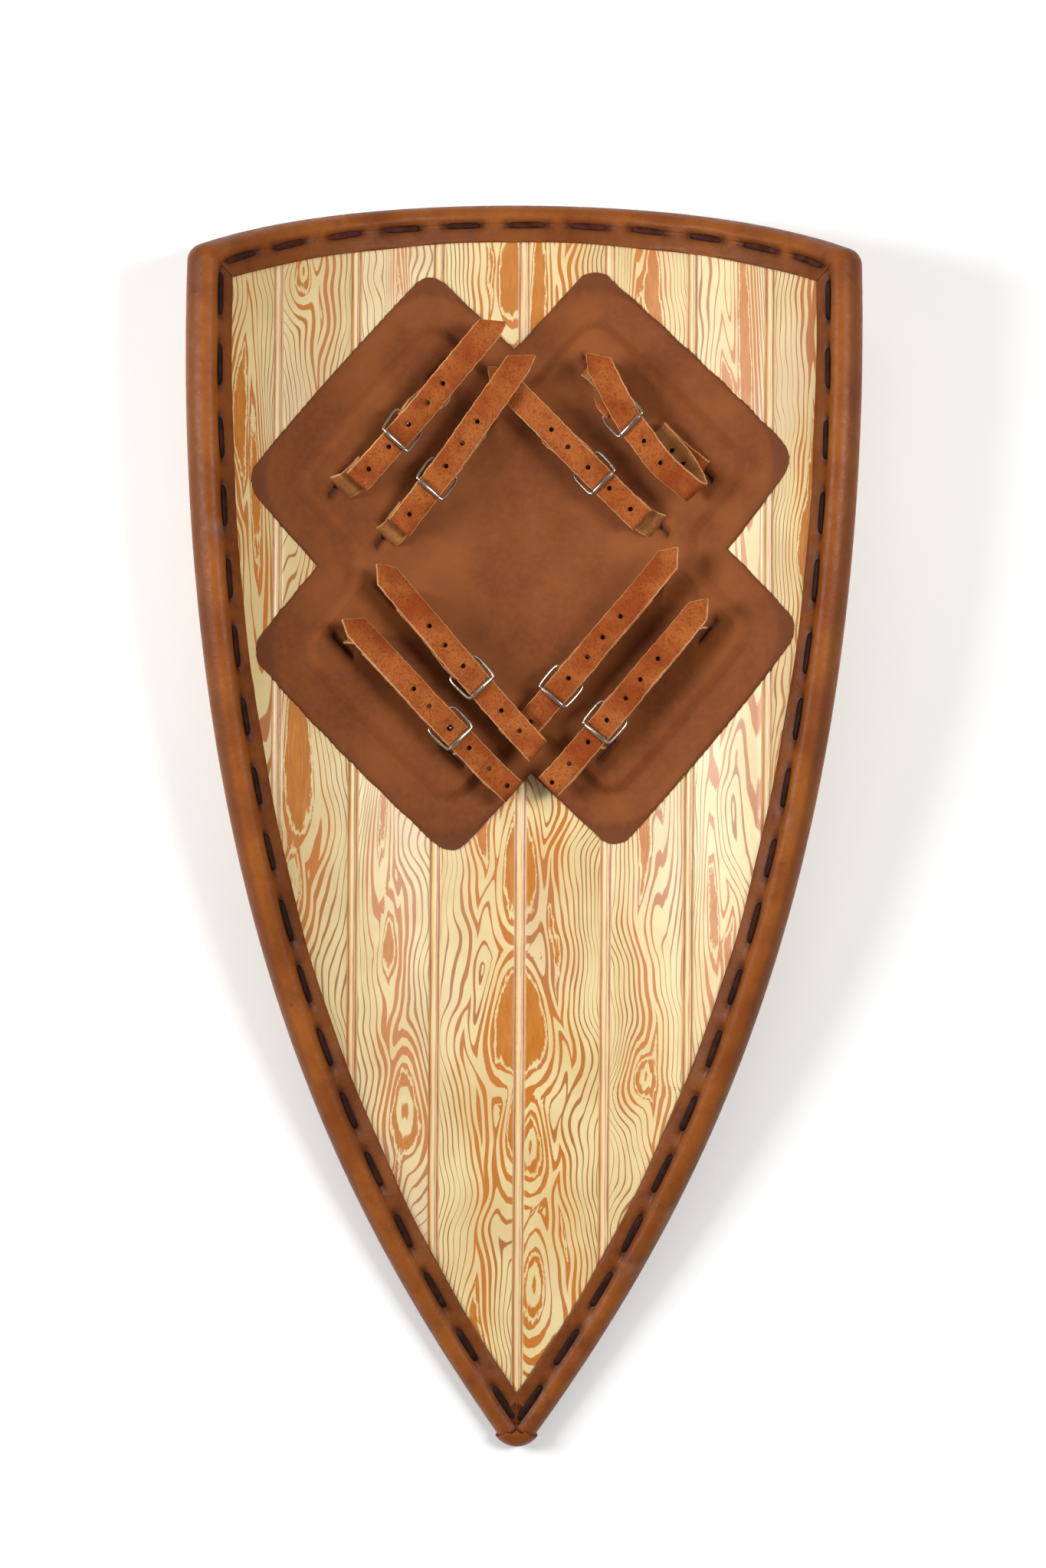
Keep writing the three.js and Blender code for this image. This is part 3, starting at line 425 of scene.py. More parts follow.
for element, (position, code) in zip(ramp.elements, STRIPES):
    element.position = position
    element.color = colour(code)
groove_far = PLANKS.add("Math", (from_groove,), operation="ABSOLUTE")
printed = tint(PLANKS, groove_far, 4.4, 6.2, printed, stripe_colour, start=1.0, stop=0.0)
print("stripes in a groove:", len(STRIPES))

# %% [markdown]
# ## The latex skin
# The skin is brushed on, so it is slightly uneven over a few centimetres, takes a fine grain from
# the mould and stands up a hair where the ink is thick. The coat is what gives the broad gloss.

# %% Gloss and relief of the planks
PLANKS.shader.inputs["Coat Weight"].default_value = 0.22
PLANKS.shader.inputs["Coat Roughness"].default_value = 0.3
uneven = blotches(PLANKS, flat_place, 60, detail=2)
mould_grain = blotches(PLANKS, flat_place, 2.0, detail=3, stretch=(1, 0.2, 1))
PRINT = complete(PLANKS, printed, (uneven, 0.8), (mould_grain, 0.05), (line, 0.04))

# %% [markdown]
# ## The rim's leather
# A strip of waxed, vegetable-tanned cowhide, rubbed by hand. The flat flange is painted darker and
# the roll redder and lighter, as painted shade and painted light. The dips round the lace and the
# roll's outer edge are painted darker too, as painted shade. Leather scatters light with an index of
# refraction of about 1.5, and wax makes it half glossy. Four sizes of blotches, from 70 mm down to
# 9 mm, give the mottling. One noise alone would look like marble.

# %% Rim leather
def rim_leather_finish():
    rim = Finish("rim_leather", roughness=0.5, ior=1.5)
    rim.shader.inputs["Specular IOR Level"].default_value = 0.14
    place = rim.add("TexCoord", output="Object")
    cloud = blotches(rim, place, 55, detail=4, rough=0.6)
    fine = blotches(rim, place, 9, detail=4, rough=0.65)
    over = rim.add("Attribute", output="Fac", attribute_name="rim_across")
    # The flange's tint is painted shade and the roll's lighter copy of the same mottling is painted light
    shaded_flange = tint(rim, cloud, 0.3, 0.7, "#5E2D0D", "#7E4418")
    lit_flank = tint(rim, cloud, 0.3, 0.7, "#743A12", "#92521E")
    base = tint(rim, over, 0.42, 0.6, shaded_flange, lit_flank)
    base = tint(rim, fine, 0.35, 0.75, base, "#7C421C", stop=0.45)
    dark = blotches(rim, place, 34, detail=5, rough=0.7)
    base = tint(rim, dark, 0.56, 0.75, base, "#5E3220", stop=0.75)
    # The roll's outer edge is painted darker, as painted shade where it turns away from the light
    base = tint(rim, over, 0.92, 1.0, base, "#55301C", stop=0.5)
    # The dips and holes by the lace are painted darker, as painted shade
    lace_shade = rim.add("Attribute", output="Fac", attribute_name="rim_painted_shade")
    base = rim.add("Mix", {"Factor_Float": lace_shade, "A_Color": base, "B_Color": "#3B1D12"}, **IN_COLOUR)
    worn = blotches(rim, place, 70, detail=3)
    base = tint(rim, worn, 0.62, 0.75, base, "#9A8A7C", stop=0.12)
    rough = rim.add("MapRange", (fine, 0.3, 0.7, 0.34, 0.5), **SOFT)
    rim.link(rough, rim.shader.inputs["Roughness"])
    # Pores are about 0.3 mm across and too fine to show, so they are drawn at 1.1 mm
    pores = blotches(rim, place, 1.1, detail=3)
    creases = blotches(rim, place, 7, detail=4, rough=0.6, distortion=0.4)
    return complete(rim, base, (creases, 0.5), (pores, 0.07))


RIM = rim_leather_finish()

# %% [markdown]
# ## The pad's leather
# Soft matt chrome-tanned split, like that of a work glove. Its fuzz scatters the light, so it has
# hardly any gloss. Its slots, its edge and the foot of its raised middle are painted darker, as
# painted shade.

# %% Pad leather
def pad_leather_finish():
    pad = Finish("pad_leather", roughness=0.74, ior=1.5)
    pad.shader.inputs["Specular IOR Level"].default_value = 0.22
    place = pad.add("TexCoord", output="Object")
    cloud = blotches(pad, place, 80, detail=4, rough=0.55)
    nap = blotches(pad, place, 6, detail=4, rough=0.6)
    base = tint(pad, cloud, 0.3, 0.7, "#6C3615", "#874A20")
    base = tint(pad, nap, 0.35, 0.75, base, "#8C4E20", stop=0.3)
    # Painted shade in the slots, along the edge and at the foot of the raised middle
    pad_shade = pad.add("Attribute", output="Fac", attribute_name="pad_painted_shade")
    base = pad.add("Mix", {"Factor_Float": pad_shade, "A_Color": base, "B_Color": "#4C2715"}, **IN_COLOUR)
    # The fuzz is finer than a render shows, so it is drawn at 0.9 mm
    fuzz = blotches(pad, place, 0.9, detail=3)
    waves = blotches(pad, place, 45, detail=2)
    return complete(pad, base, (waves, 0.9), (fuzz, 0.08))


PAD = pad_leather_finish()

# %% [markdown]
# ## The straps' leathers
# The straps are sueded harness leather: a napped outside in warm brown, a lighter tan inside and pale
# raw edges where the knife cut them. The holes' walls are painted almost black, as painted shade.
# All four are one material with other colours, so one function makes them. Suede is almost fully
# rough.

# %% Strap leathers
def suede(name, deep, light, speck):
    leather = Finish(name, roughness=0.9, ior=1.45)
    leather.shader.inputs["Specular IOR Level"].default_value = 0.2
    place = leather.add("TexCoord", output="Object")
    cloud = blotches(leather, place, 40, detail=3)
    nap = blotches(leather, place, 2.2, detail=4, rough=0.7)
    blush = blotches(leather, place, 25, detail=4, rough=0.6)
    base = tint(leather, cloud, 0.35, 0.65, deep, light)
    base = tint(leather, nap, 0.48, 0.66, base, speck, stop=0.75)
    base = tint(leather, blush, 0.52, 0.7, base, speck, stop=0.5)
    # Single fibres are far too fine to show, so they are drawn at 0.8 mm
    fibres = blotches(leather, place, 0.8, detail=3)
    return complete(leather, base, (nap, 0.18), (fibres, 0.08))


SUEDE = suede("strap_outside", "#863D13", "#A15927", "#6C2C0E")
FLESH = suede("strap_inside", "#7E4C24", "#9E6A3A", "#6E4020")
CUT_EDGE = suede("strap_edge", "#B58052", "#CC9B6C", "#9C6A40")
# The holes' walls are painted almost black, as painted shade
SHADED_HOLE_WALL = suede("painted_shade_hole", "#180A05", "#221008", "#100603")
STRAP_FINISHES = (SUEDE, FLESH, CUT_EDGE, SHADED_HOLE_WALL)

# %% [markdown]
# ## Nickel plate
# The buckles are bright nickel plate over steel wire: fully metallic and quite smooth, with a
# yellowish tarnish in patches of about 4 mm and fine scratches. A metal's colour comes from what it
# reflects, so most of its look is made by the studio lights further down.

# %% Nickel
def nickel():
    plate = Finish("nickel_plate", roughness=0.2, metallic=1.0)
    place = plate.add("TexCoord", output="Object")
    tarnish = blotches(plate, place, 4, detail=3)
    base = tint(plate, tarnish, 0.4, 0.75, "#B9B4A8", "#8A8478", stop=0.5)
    rough = plate.add("MapRange", (tarnish, 0.3, 0.8, 0.14, 0.34), **SOFT)
    plate.link(rough, plate.shader.inputs["Roughness"])
    # Scratches are hair-thin on the real plate and are drawn at 0.5 mm
    scratches = blotches(plate, place, 0.5, detail=2)
    return complete(plate, base, (scratches, 0.01))


NICKEL = nickel()

# %% [markdown]
# ## Waxed lace
# The lace is a thin cord of waxed leather, almost black. Along the top edge it is worn browner, so
# the same recipe is made twice with other colours.

# %% Lace
def waxed_lace(name, dark, light):
    cord = Finish(name, roughness=0.6, ior=1.5)
    cord.shader.inputs["Specular IOR Level"].default_value = 0.12
    place = cord.add("TexCoord", output="Object")
    patch = blotches(cord, place, 12, detail=3)
    base = tint(cord, patch, 0.35, 0.7, dark, light)
    strands = blotches(cord, place, 1.2, detail=3)
    return complete(cord, base, (strands, 0.25))


LACE = waxed_lace("waxed_lace", "#1A0B07", "#34160E")
WORN_LACE = waxed_lace("worn_lace", "#2C110A", "#4E2114")

# %% [markdown]
# ## Where the knots are
# The print has some two dozen knots and blotches. Scattering them by chance would look even and
# dull, because real boards have runs of clear wood between their knots, so they are placed one by
# one. Long waves along each plank push its middle lines into arches.

# %% Knots in the print
# Plank number from the middle, then millimetres: across from the plank's middle, up the shield,
# half length and half width of its orange, and whether it has a pale eye
KNOTS = (
    (-3, -14, 490, 16, 6, True),
    (-3, -16, 62, 66, 12, False),
    (-3, -21, -48, 30, 9, True),
    (-2, -4, -104, 20, 4, False),
    (-2, 12, -254, 34, 11, True),
    (-1, 36, -38, 40, 11, False),
    (-1, 36, -176, 44, 19, False),
    (-1, 34, -262, 26, 4, False),
    (0, -36, -38, 40, 11, False),
    (0, -36, -176, 44, 19, False),
    (0, -28, -288, 24, 8, True),
    (0, -24, -412, 30, 9, True),
    (0, -26, 480, 60, 6, False),
    (-1, 26, 496, 40, 9, False),
    (1, 0, -222, 16, 8, True),
    (1, -10, 450, 30, 4, False),
    (2, 14, 420, 120, 5, False),
    (2, -14, -70, 40, 4, False),
    (3, -19, 0, 34, 6, False),
    (-3, 8, 210, 40, 10, True),
    (-4, 14, 300, 70, 4, False),
    (3, 12, 280, 70, 5, True),
    (-2, 4, 420, 60, 3, False),
    (-2, -10, 20, 40, 3, False),
    (1, 12, 60, 40, 3, False),
)
BLOTCH_EDGE = -6
CLEAR_WOOD = 60
KNOT_BORDER = 4
EYE_SHARP = 2.2
WAVE_LONG = 330
SLOW_WAVE_LONG = 870
WAVE_WIDE = 22
WAVE_PUSH = 15


def knot_fields(s, v):
    """The push of the cathedral arches, the growth value round the knots and the pale eyes."""
    around = np.full_like(s, CLEAR_WOOD)
    eye = np.zeros_like(s)
    for plank, across, up, half_long, half_wide, has_eye in KNOTS:
        middle = (plank + 0.5) * PLANK_PITCH
        lean = 0.05 * math.sin(up)
        ds = (s - middle - across - lean * (v - up)) / half_wide
        dv = (v - up) / half_long
        distance = np.hypot(ds * (1 + 0.3 * np.tanh(dv)), dv)
        same_plank = np.abs(s - middle) <= PLANK_PITCH / 2 + 0.01
        knot = BLOTCH_EDGE + (distance - 1) * (half_wide + KNOT_BORDER)
        around = np.minimum(around, np.where(same_plank, knot, CLEAR_WOOD))
        if has_eye:
            eye = np.maximum(eye, np.exp(-distance ** 2 * EYE_SHARP) * same_plank)
    plank = np.floor(s / PLANK_PITCH)
    off_middle = s - (plank + 0.5) * PLANK_PITCH
    slow_wave = np.sin(2 * np.pi * v / SLOW_WAVE_LONG + plank)
    wave = np.sin(2 * np.pi * v / WAVE_LONG + plank * 2.1) * slow_wave
    push = WAVE_PUSH * wave * np.exp(-(off_middle / WAVE_WIDE) ** 2)
    return push, around, eye


print("knots in the print:", len(KNOTS))

# %% [markdown]
# ## The board's grid
# A slab of foam with planks on both faces. Between planks runs a groove: a cut on each side of a
# low round bead. Cutting grooves with a boolean would leave ragged shading, so the grid gets extra
# columns just where the groove's profile has its corners, and plain ones in between.

# %% Grid lines of the board
BOARD_INSET = 8
BOARD_ROWS = 190
COLUMNS_PER_PLANK = 15
GROOVE_PLACES = (0, 1.8, 3.3, 4.1, 4.75, GROOVE_HALF)
GROOVE_DEPTHS = (0.15, 0.35, 1.1, GROOVE_DEEP, 0.25, 0)


def groove_depth(offset):
    """Depth at a distance from a groove's middle."""
    return np.interp(np.abs(offset), GROOVE_PLACES, GROOVE_DEPTHS)


def board_columns():
    widest = HALF_ROUND - BOARD_INSET
    columns = []
    for plank in range(-4, 4):
        start = plank * PLANK_PITCH
        columns += list(np.linspace(start + GROOVE_HALF, start + PLANK_PITCH - GROOVE_HALF,
                                    COLUMNS_PER_PLANK))
    for line in range(-3, 4):
        for step in GROOVE_PLACES[:-1]:
            columns += {line * PLANK_PITCH - step, line * PLANK_PITCH + step}
    kept = [c for c in columns if abs(c) < widest - 1.5]
    return np.array(sorted([-widest] + kept + [widest]))


def board_span(s):
    """Lowest and highest v of the board at s."""
    side = np.sqrt(np.maximum((SIDE_RADIUS - BOARD_INSET) ** 2 - (np.abs(s) - SIDE_CENTRE_S) ** 2, 0))
    top = TOP_CENTRE_V + np.sqrt((TOP_RADIUS - BOARD_INSET) ** 2 - s ** 2)
    return SIDE_CENTRE_V - side, np.minimum(top, SIDE_CENTRE_V + side)


print("columns across the board:", len(board_columns()))

# %% [markdown]
# ## The board
# The back's grid and the front's are two halves of one closed ring of columns, so the slab has no
# gap at its edges. The grid's ends follow the outline and hide under the rim. The same flat places
# are stored on the mesh for the print, which is why the grain bends with the board.

# %% Build the board
def build_board():
    columns = board_columns()
    low, high = board_span(columns)
    share = np.linspace(0, 1, BOARD_ROWS)[:, None]
    v = low + (high - low) * share
    s = np.broadcast_to(columns, v.shape)
    nearest = np.round(s / PLANK_PITCH) * PLANK_PITCH
    depth = groove_depth(s - nearest)
    ring_s = np.concatenate([s, s[:, ::-1]], axis=1)
    ring_v = np.concatenate([v, v[:, ::-1]], axis=1)
    front = -BOARD_THICK + depth[:, ::-1]
    ring_b = np.concatenate([-depth, front], axis=1)
    rows, around = ring_s.shape
    faces = grid_faces(rows, around, closed_columns=True)
    count = len(columns)
    caps = []
    for row in (0, rows - 1):
        for i in range(count - 1):
            caps.append([row * around + i, row * around + i + 1,
                         row * around + around - 2 - i, row * around + around - 1 - i])
    faces = np.concatenate([faces, np.array(caps)])
    points = bend(ring_s, ring_v, ring_b).reshape(-1, 3)
    piece = make_piece("printed_board", points, faces, [PRINT], ("foam_board",))
    push, around, eye = knot_fields(ring_s.ravel(), ring_v.ravel())
    flat = np.stack([ring_s.ravel(), ring_v.ravel(), ring_b.ravel()], axis=1) * MM
    store(piece, "flat_place", flat)
    store(piece, "cathedral_pull", push)
    store(piece, "knot_growth", around)
    store(piece, "knot_eye", eye)
    return piece


board = build_board()
print("board:", len(board.data.polygons), "faces")

# %% [markdown]
# ## The outline
# The shield's outline is three arcs: a slow one over the top and one down each side, with a small
# round at each corner and at the tip. A curve object could be drawn by eye, but arcs worked out
# from the real sizes meet exactly. First comes where the top arch meets the side.

# %% Where the top meets the side
def corner_turn():
    """The angle at which the top arch meets the side arc."""
    low, high = 0.0, math.pi / 4
    for _ in range(60):
        angle = (low + high) / 2
        s = TOP_RADIUS * math.sin(angle)
        v = TOP_CENTRE_V + TOP_RADIUS * math.cos(angle)
        if math.hypot(s - SIDE_CENTRE_S, v - SIDE_CENTRE_V) < SIDE_RADIUS:
            low = angle
        else:
            high = angle
    return low


STITCH_PITCH = TOP_RADIUS * 2 * corner_turn() / TOP_STITCHES
print(f"stitches are {STITCH_PITCH:.1f} mm apart")

# %% [markdown]
# ## Walking along the outline
# The rim is swept along the outline in small steps, called stations here. On the arcs a station
# knows how many stitches it has passed, so that the lace and the leather agree. At a corner the
# stations turn on the spot like a fan. Near a corner they also remember how far away it is.

# %% Stations along the rim
STEPS_PER_STITCH = 16
FAN_STEPS = 8


def rim_stations():
    """Places along the outline: centre, radius, angle, fan's middle and half, stitch count, mitres."""
    turn = corner_turn()
    corner_s = TOP_RADIUS * math.sin(turn)
    corner_v = TOP_CENTRE_V + TOP_RADIUS * math.cos(turn)
    side_top = math.asin((corner_v - SIDE_CENTRE_V) / SIDE_RADIUS)
    side_tip = -math.acos(-SIDE_CENTRE_S / SIDE_RADIUS)
    top_normal = math.pi / 2 - turn
    inset = CORNER_RADIUS / math.cos((top_normal - side_top) / 2)
    half = (top_normal + side_top) / 2
    round_s = corner_s - inset * math.cos(half)
    round_v = corner_v - inset * math.sin(half)
    tip_v = -LENGTH / 2 + TIP_RADIUS / math.sin(math.pi / 2 + side_tip)
    stations = []

    def fan(s, v, radius, start, stop, steps):
        for i in range(steps + 1):
            angle = start + (stop - start) * i / steps
            stations.append((s, v, radius, angle, (start + stop) / 2, abs(stop - start) / 2, None, ()))

    def run(place, first, last, stitches, group, half_first, half_last):
        """Half_first and half_last are the half turns of the corners at the run's ends."""
        steps = stitches * STEPS_PER_STITCH
        long = stitches * STITCH_PITCH
        for i in range(1, steps):
            along = i / STEPS_PER_STITCH
            s, v, angle = place(first + (last - first) * i / steps)
            gone = long * i / steps
            mitres = ((gone, half_first, -1), (long - gone, half_last, 1))
            stations.append((s, v, 0.0, angle, angle, 0.0, (group, along), mitres))

    def on_top(angle):
        return (TOP_RADIUS * math.sin(angle),
                TOP_CENTRE_V + TOP_RADIUS * math.cos(angle), math.pi / 2 - angle)

    def on_right(angle):
        return (SIDE_CENTRE_S + SIDE_RADIUS * math.cos(angle),
                SIDE_CENTRE_V + SIDE_RADIUS * math.sin(angle), angle)

    def on_left(angle):
        s, v, normal = on_right(angle)
        return -s, v, math.pi - normal

    fan(-round_s, round_v, CORNER_RADIUS, math.pi - side_top, math.pi - top_normal, FAN_STEPS)
    corner = (top_normal - side_top) / 2
    tip_half = -side_tip
    run(on_top, -turn, turn, TOP_STITCHES, "top", corner, corner)
    fan(round_s, round_v, CORNER_RADIUS, top_normal, side_top, FAN_STEPS)
    run(on_right, side_top, side_tip, SIDE_STITCHES, "right", corner, tip_half)
    fan(0, tip_v, TIP_RADIUS, side_tip, -math.pi - side_tip, FAN_STEPS + 2)
    run(on_left, side_tip, side_top, SIDE_STITCHES, "left", tip_half, corner)
    return stations


STATIONS = rim_stations()
print("stations along the rim:", len(STATIONS))

# %% [markdown]
# ## Across the outline
# At a station, a place is given by how far outside the middle line it is. Going inwards, the
# stations on the two sides of a corner would run into each other. A leather worker cuts such a
# strip to a mitre, so the inner edge stops at the corner's halving line here too.

# %% A place across the rim
INNER_EASE = 0.08


def rim_place(station, n):
    """Flat places at distances n outside the rim's middle line."""
    s, v, radius, angle, middle, half, _, mitres = station
    n = np.asarray(n, float)
    reach = n + radius
    outer_s = s + reach * math.cos(angle)
    outer_v = v + reach * math.sin(angle)
    if half == 0:
        # Near a corner the inner edge stops at the mitre
        for gone, corner_half, way in mitres:
            back = np.maximum(-n * math.tan(corner_half) - gone, 0) * way
            outer_s = outer_s - back * math.sin(angle)
            outer_v = outer_v + back * math.cos(angle)
        return outer_s, outer_v
    mitre = reach / math.cos(half)
    ease = INNER_EASE * reach
    inner_s = s + mitre * math.cos(middle) - ease * (math.cos(angle) - math.cos(middle))
    inner_v = v + mitre * math.sin(middle) - ease * (math.sin(angle) - math.sin(middle))
    inside = reach < 0
    return np.where(inside, inner_s, outer_s), np.where(inside, inner_v, outer_v)


print("first corner's middle line in millimetres:", [round(float(c), 1) for c in rim_place(STATIONS[0], 0)])

# %% [markdown]
# ## The stitches' places
# Hand lacing is never quite even, and a perfectly even row is the first thing that makes a model
# look like one. Each stitch gets its own length, slant and shift from a random generator. Its seed
# is fixed, so every run of the script makes the same shield.

# %% Lay out the stitches
rng = np.random.default_rng(7)


def lay_stitches():
    stitches = {}
    for group, count in (("top", TOP_STITCHES), ("right", SIDE_STITCHES), ("left", SIDE_STITCHES)):
        stitches[group] = []
        for i in range(count):
            long = STITCH_LONG / STITCH_PITCH * rng.uniform(0.9, 1.08)
            middle = i + 0.5 + rng.uniform(-0.03, 0.03)
            slant = rng.uniform(-1.2, 1.2)
            inset = STITCH_INSET_TOP if group == "top" else STITCH_INSET
            stitches[group].append((middle - long / 2, middle + long / 2, -inset, slant))
    return stitches


STITCHES = lay_stitches()
print("stitches on the back:", sum(len(row) for row in STITCHES.values()))

# %% [markdown]
# ## The rim's section
# A leather strip is folded over the board's edge. Cut across, it shows a flat flange on each face
# and a fat roll over the edge. A bevelled curve in Blender gives such a sweep too, but a section of
# listed points keeps the crease beside the roll sharp and can change at every stitch.

# %% The rim's section
FLANGE = GAP + RIM_LEATHER
FRONT_FACE = -BOARD_THICK - 2 * GAP - STITCH_PITCH ** 2 / 8 / BACK_RADIUS


def roll_arc(start, stop, steps):
    """Points over the roll, from one angle in degrees to another."""
    angles = np.radians(np.linspace(start, stop, steps))
    return [(ROLL_MIDDLE + ROLL_HALF_WIDE * math.cos(a),
             BOARD_MIDDLE + BEAD_HALF_THICK * math.sin(a)) for a in angles]


def rim_section():
    """The strip's outer skin from the back's inner edge, over the roll, to the front's, and back inside."""
    front = FRONT_FACE
    edge = -RIM_INNER_EDGE
    back_flange = [(edge, 0.9), (edge - 0.2, 1.9), (edge + 0.4, FLANGE - 0.25), (edge + 1.5, FLANGE)]
    back_flange += [(n, FLANGE) for n in (-16, -13.5, -11.5, -10, -8.6, -7.2, -6, -4.9)]
    back_flange += [(-3.9, FLANGE + 0.25), (-3.1, FLANGE + 0.9)]
    under = front - RIM_LEATHER
    front_flange = [(-3.4, under - 0.5), (-6, under), (-10, under), (-15, under), (edge + 1, under),
                    (edge, front - 1.2), (edge, front)]
    inside = [(-10, front), (-3, -BOARD_THICK + 4), (-3, -4), (-10, 0.2)]
    return back_flange + roll_arc(117, -117, 34) + front_flange + inside


print("points round the rim's section:", len(rim_section()))

# %% [markdown]
# ## How the lace pulls the leather
# The lace is drawn tight, so the leather dips beside each stitch and most at its two holes. Those
# dips and holes are painted dark, as painted shade. Sculpting could do this by hand. A
# smooth bell-shaped dip round each stitch does it for all of them alike.

# %% Dips and painted shade by the stitches
# How deep and how wide each dip is, in millimetres
STITCH_DIP = (0.9, 4.4)
HOLE_DIP = (1.1, 2.6)
HOLE_SHADE_WIDE = 3.6
STITCH_SHADE = 0.75


def bell(distance, wide):
    """One at the middle, and falling off smoothly to nothing."""
    return np.exp(-(distance / wide) ** 2)


def stitch_pull(along, group, n):
    """How far the leather is pulled down near stitches, in millimetres, and the painted shade of holes and
    dips.
    """
    pull = np.zeros_like(n)
    dark = np.zeros_like(n)
    for start, stop, inset, slant in STITCHES[group]:
        if along < start - 0.4 or along > stop + 0.4:
            continue
        share = np.clip((along - start) / (stop - start), 0, 1)
        line = inset + slant * (share - 0.5)
        beyond = max(start - along, along - stop, 0) * STITCH_PITCH
        away = np.hypot(n - line, beyond)
        pull += STITCH_DIP[0] * bell(away, STITCH_DIP[1])
        for end in (start, stop):
            from_end = np.hypot((along - end) * STITCH_PITCH, n - line)
            pull += HOLE_DIP[0] * bell(from_end, HOLE_DIP[1])
            dark = np.maximum(dark, bell(from_end, HOLE_SHADE_WIDE))
        dark = np.maximum(dark, STITCH_SHADE * bell(away, STITCH_DIP[1]))
    return pull, dark


print("deepest dip in millimetres:", STITCH_DIP[0] + HOLE_DIP[0])

# %% [markdown]
# ## The rim
# The section is carried from station to station. The strip's inner edge wanders by half a
# millimetre, because it was cut by hand, and the leather swells a little between stitches. Where
# the roll touches the ground it is pressed flat.

# %% Sweep the rim
DEEPEST_PULL = 2.0
SWELL_HIGH = 0.3
ROLL_WAVER = 0.25


def build_rim():
    section = np.array(rim_section())
    n_line, b_line = section[:, 0], section[:, 1]
    on_back = (n_line > 0.5 - RIM_INNER_EDGE) & (n_line < 3) & (b_line > 0.5)
    all_points, overs, darks = [], [], []
    for number, station in enumerate(STATIONS):
        phase = number / len(STATIONS) * 2 * math.pi
        wander = 0.5 * math.sin(phase * 9 + 1) + 0.35 * math.sin(phase * 23)
        inner = n_line + np.where(n_line < 2 - RIM_INNER_EDGE, wander, 0)
        b = b_line.copy()
        dark = np.zeros_like(b)
        if station[6] is not None:
            group, along = station[6]
            pull, dark = stitch_pull(along, group, n_line)
            b = b - np.where(on_back, np.minimum(pull, DEEPEST_PULL), 0)
            b = b + np.where(on_back & (n_line < -2), SWELL_HIGH * math.cos(2 * math.pi * along), 0)
            dark = np.where(on_back, dark, 0)
        b = b + np.where(on_back, ROLL_WAVER * math.sin(phase * 31), 0)
        s, v = rim_place(station, inner)
        all_points.append(bend(s, v, b))
        darks.append(dark)
        overs.append(np.clip((n_line + RIM_INNER_EDGE) / (RIM_INNER_EDGE + BEAD_HALF_WIDE), 0, 1))
    points = np.array(all_points)
    rows, around = points.shape[:2]
    faces = grid_faces(rows, around, closed_rows=True, closed_columns=True)
    points[:, :, 2] = np.maximum(points[:, :, 2], 0)
    piece = make_piece("rim_strip", points.reshape(-1, 3), faces, [RIM], ("rim_leather",))
    store(piece, "rim_across", np.array(overs).ravel())
    # Painted shade in the dips and holes by the lace, for the rim's material
    store(piece, "rim_painted_shade", np.array(darks).ravel())
    return piece


rim = build_rim()
print("rim:", len(rim.data.polygons), "faces")

# %% [markdown]
# ## One stitch of lace
# A flat cord dives in and out of the leather. One long cord would be hidden for half its way, so
# each visible stitch is a short flattened tube of its own whose ends bend down into their holes.

# %% One stitch
GROUP_START = {}
for index, station in enumerate(STATIONS):
    if station[6] is not None and station[6][0] not in GROUP_START:
        GROUP_START[station[6][0]] = index
STITCH_STEPS = 14
STITCH_SIDES = 10
STITCH_HALF_THICK = 1.0
STITCH_RISE = 1.1
STITCH_DIVE = 3.4
STITCH_TAPER = 0.3
LACE_SUNK = 0.9


def lace_place(group, along, n):
    """The flat place at a stitch count along one side of the rim."""
    position = GROUP_START[group] - 1 + along * STEPS_PER_STITCH
    first = int(math.floor(position))
    share = position - first
    near = rim_place(STATIONS[first % len(STATIONS)], n)
    far = rim_place(STATIONS[(first + 1) % len(STATIONS)], n)
    return (near[0] * (1 - share) + far[0] * share, near[1] * (1 - share) + far[1] * share)


def one_stitch(group, start, stop, inset, slant, surface, way):
    """Rings of a flattened tube: way is 1 on the back and -1 on the front."""
    rings = []
    for i in range(STITCH_STEPS):
        share = i / (STITCH_STEPS - 1)
        along = start + (stop - start) * share
        line = inset + slant * (share - 0.5)
        to_end = abs(2 * share - 1)
        rise = STITCH_RISE - STITCH_DIVE * to_end ** 10
        wide = STITCH_WIDE / 2 * (1 - STITCH_TAPER * to_end ** 4)
        ring = []
        for k in range(STITCH_SIDES):
            angle = 2 * math.pi * k / STITCH_SIDES
            n = line + wide * math.cos(angle)
            b = surface + way * (rise + STITCH_HALF_THICK * math.sin(angle))
            s, v = lace_place(group, along, n)
            ring.append(bend(float(s), float(v), b))
        rings.append(ring)
    return np.array(rings)


def capped_tube(rings, base):
    """Faces of an open row of rings with both ends closed, counted from a base index."""
    rows, around = rings.shape[:2]
    faces = [list(face + base) for face in grid_faces(rows, around, closed_columns=True)]
    faces.append([base + k for k in range(around)][::-1])
    faces.append([base + (rows - 1) * around + k for k in range(around)])
    return faces


print("points in one stitch:", STITCH_STEPS * STITCH_SIDES)

# %% [markdown]
# ## The lace
# The stitches of the front lie between those of the back, as in any running stitch. All of them
# are joined into one piece, because on the real shield they are one cord. The top row gets the
# worn finish by a material number for each face.

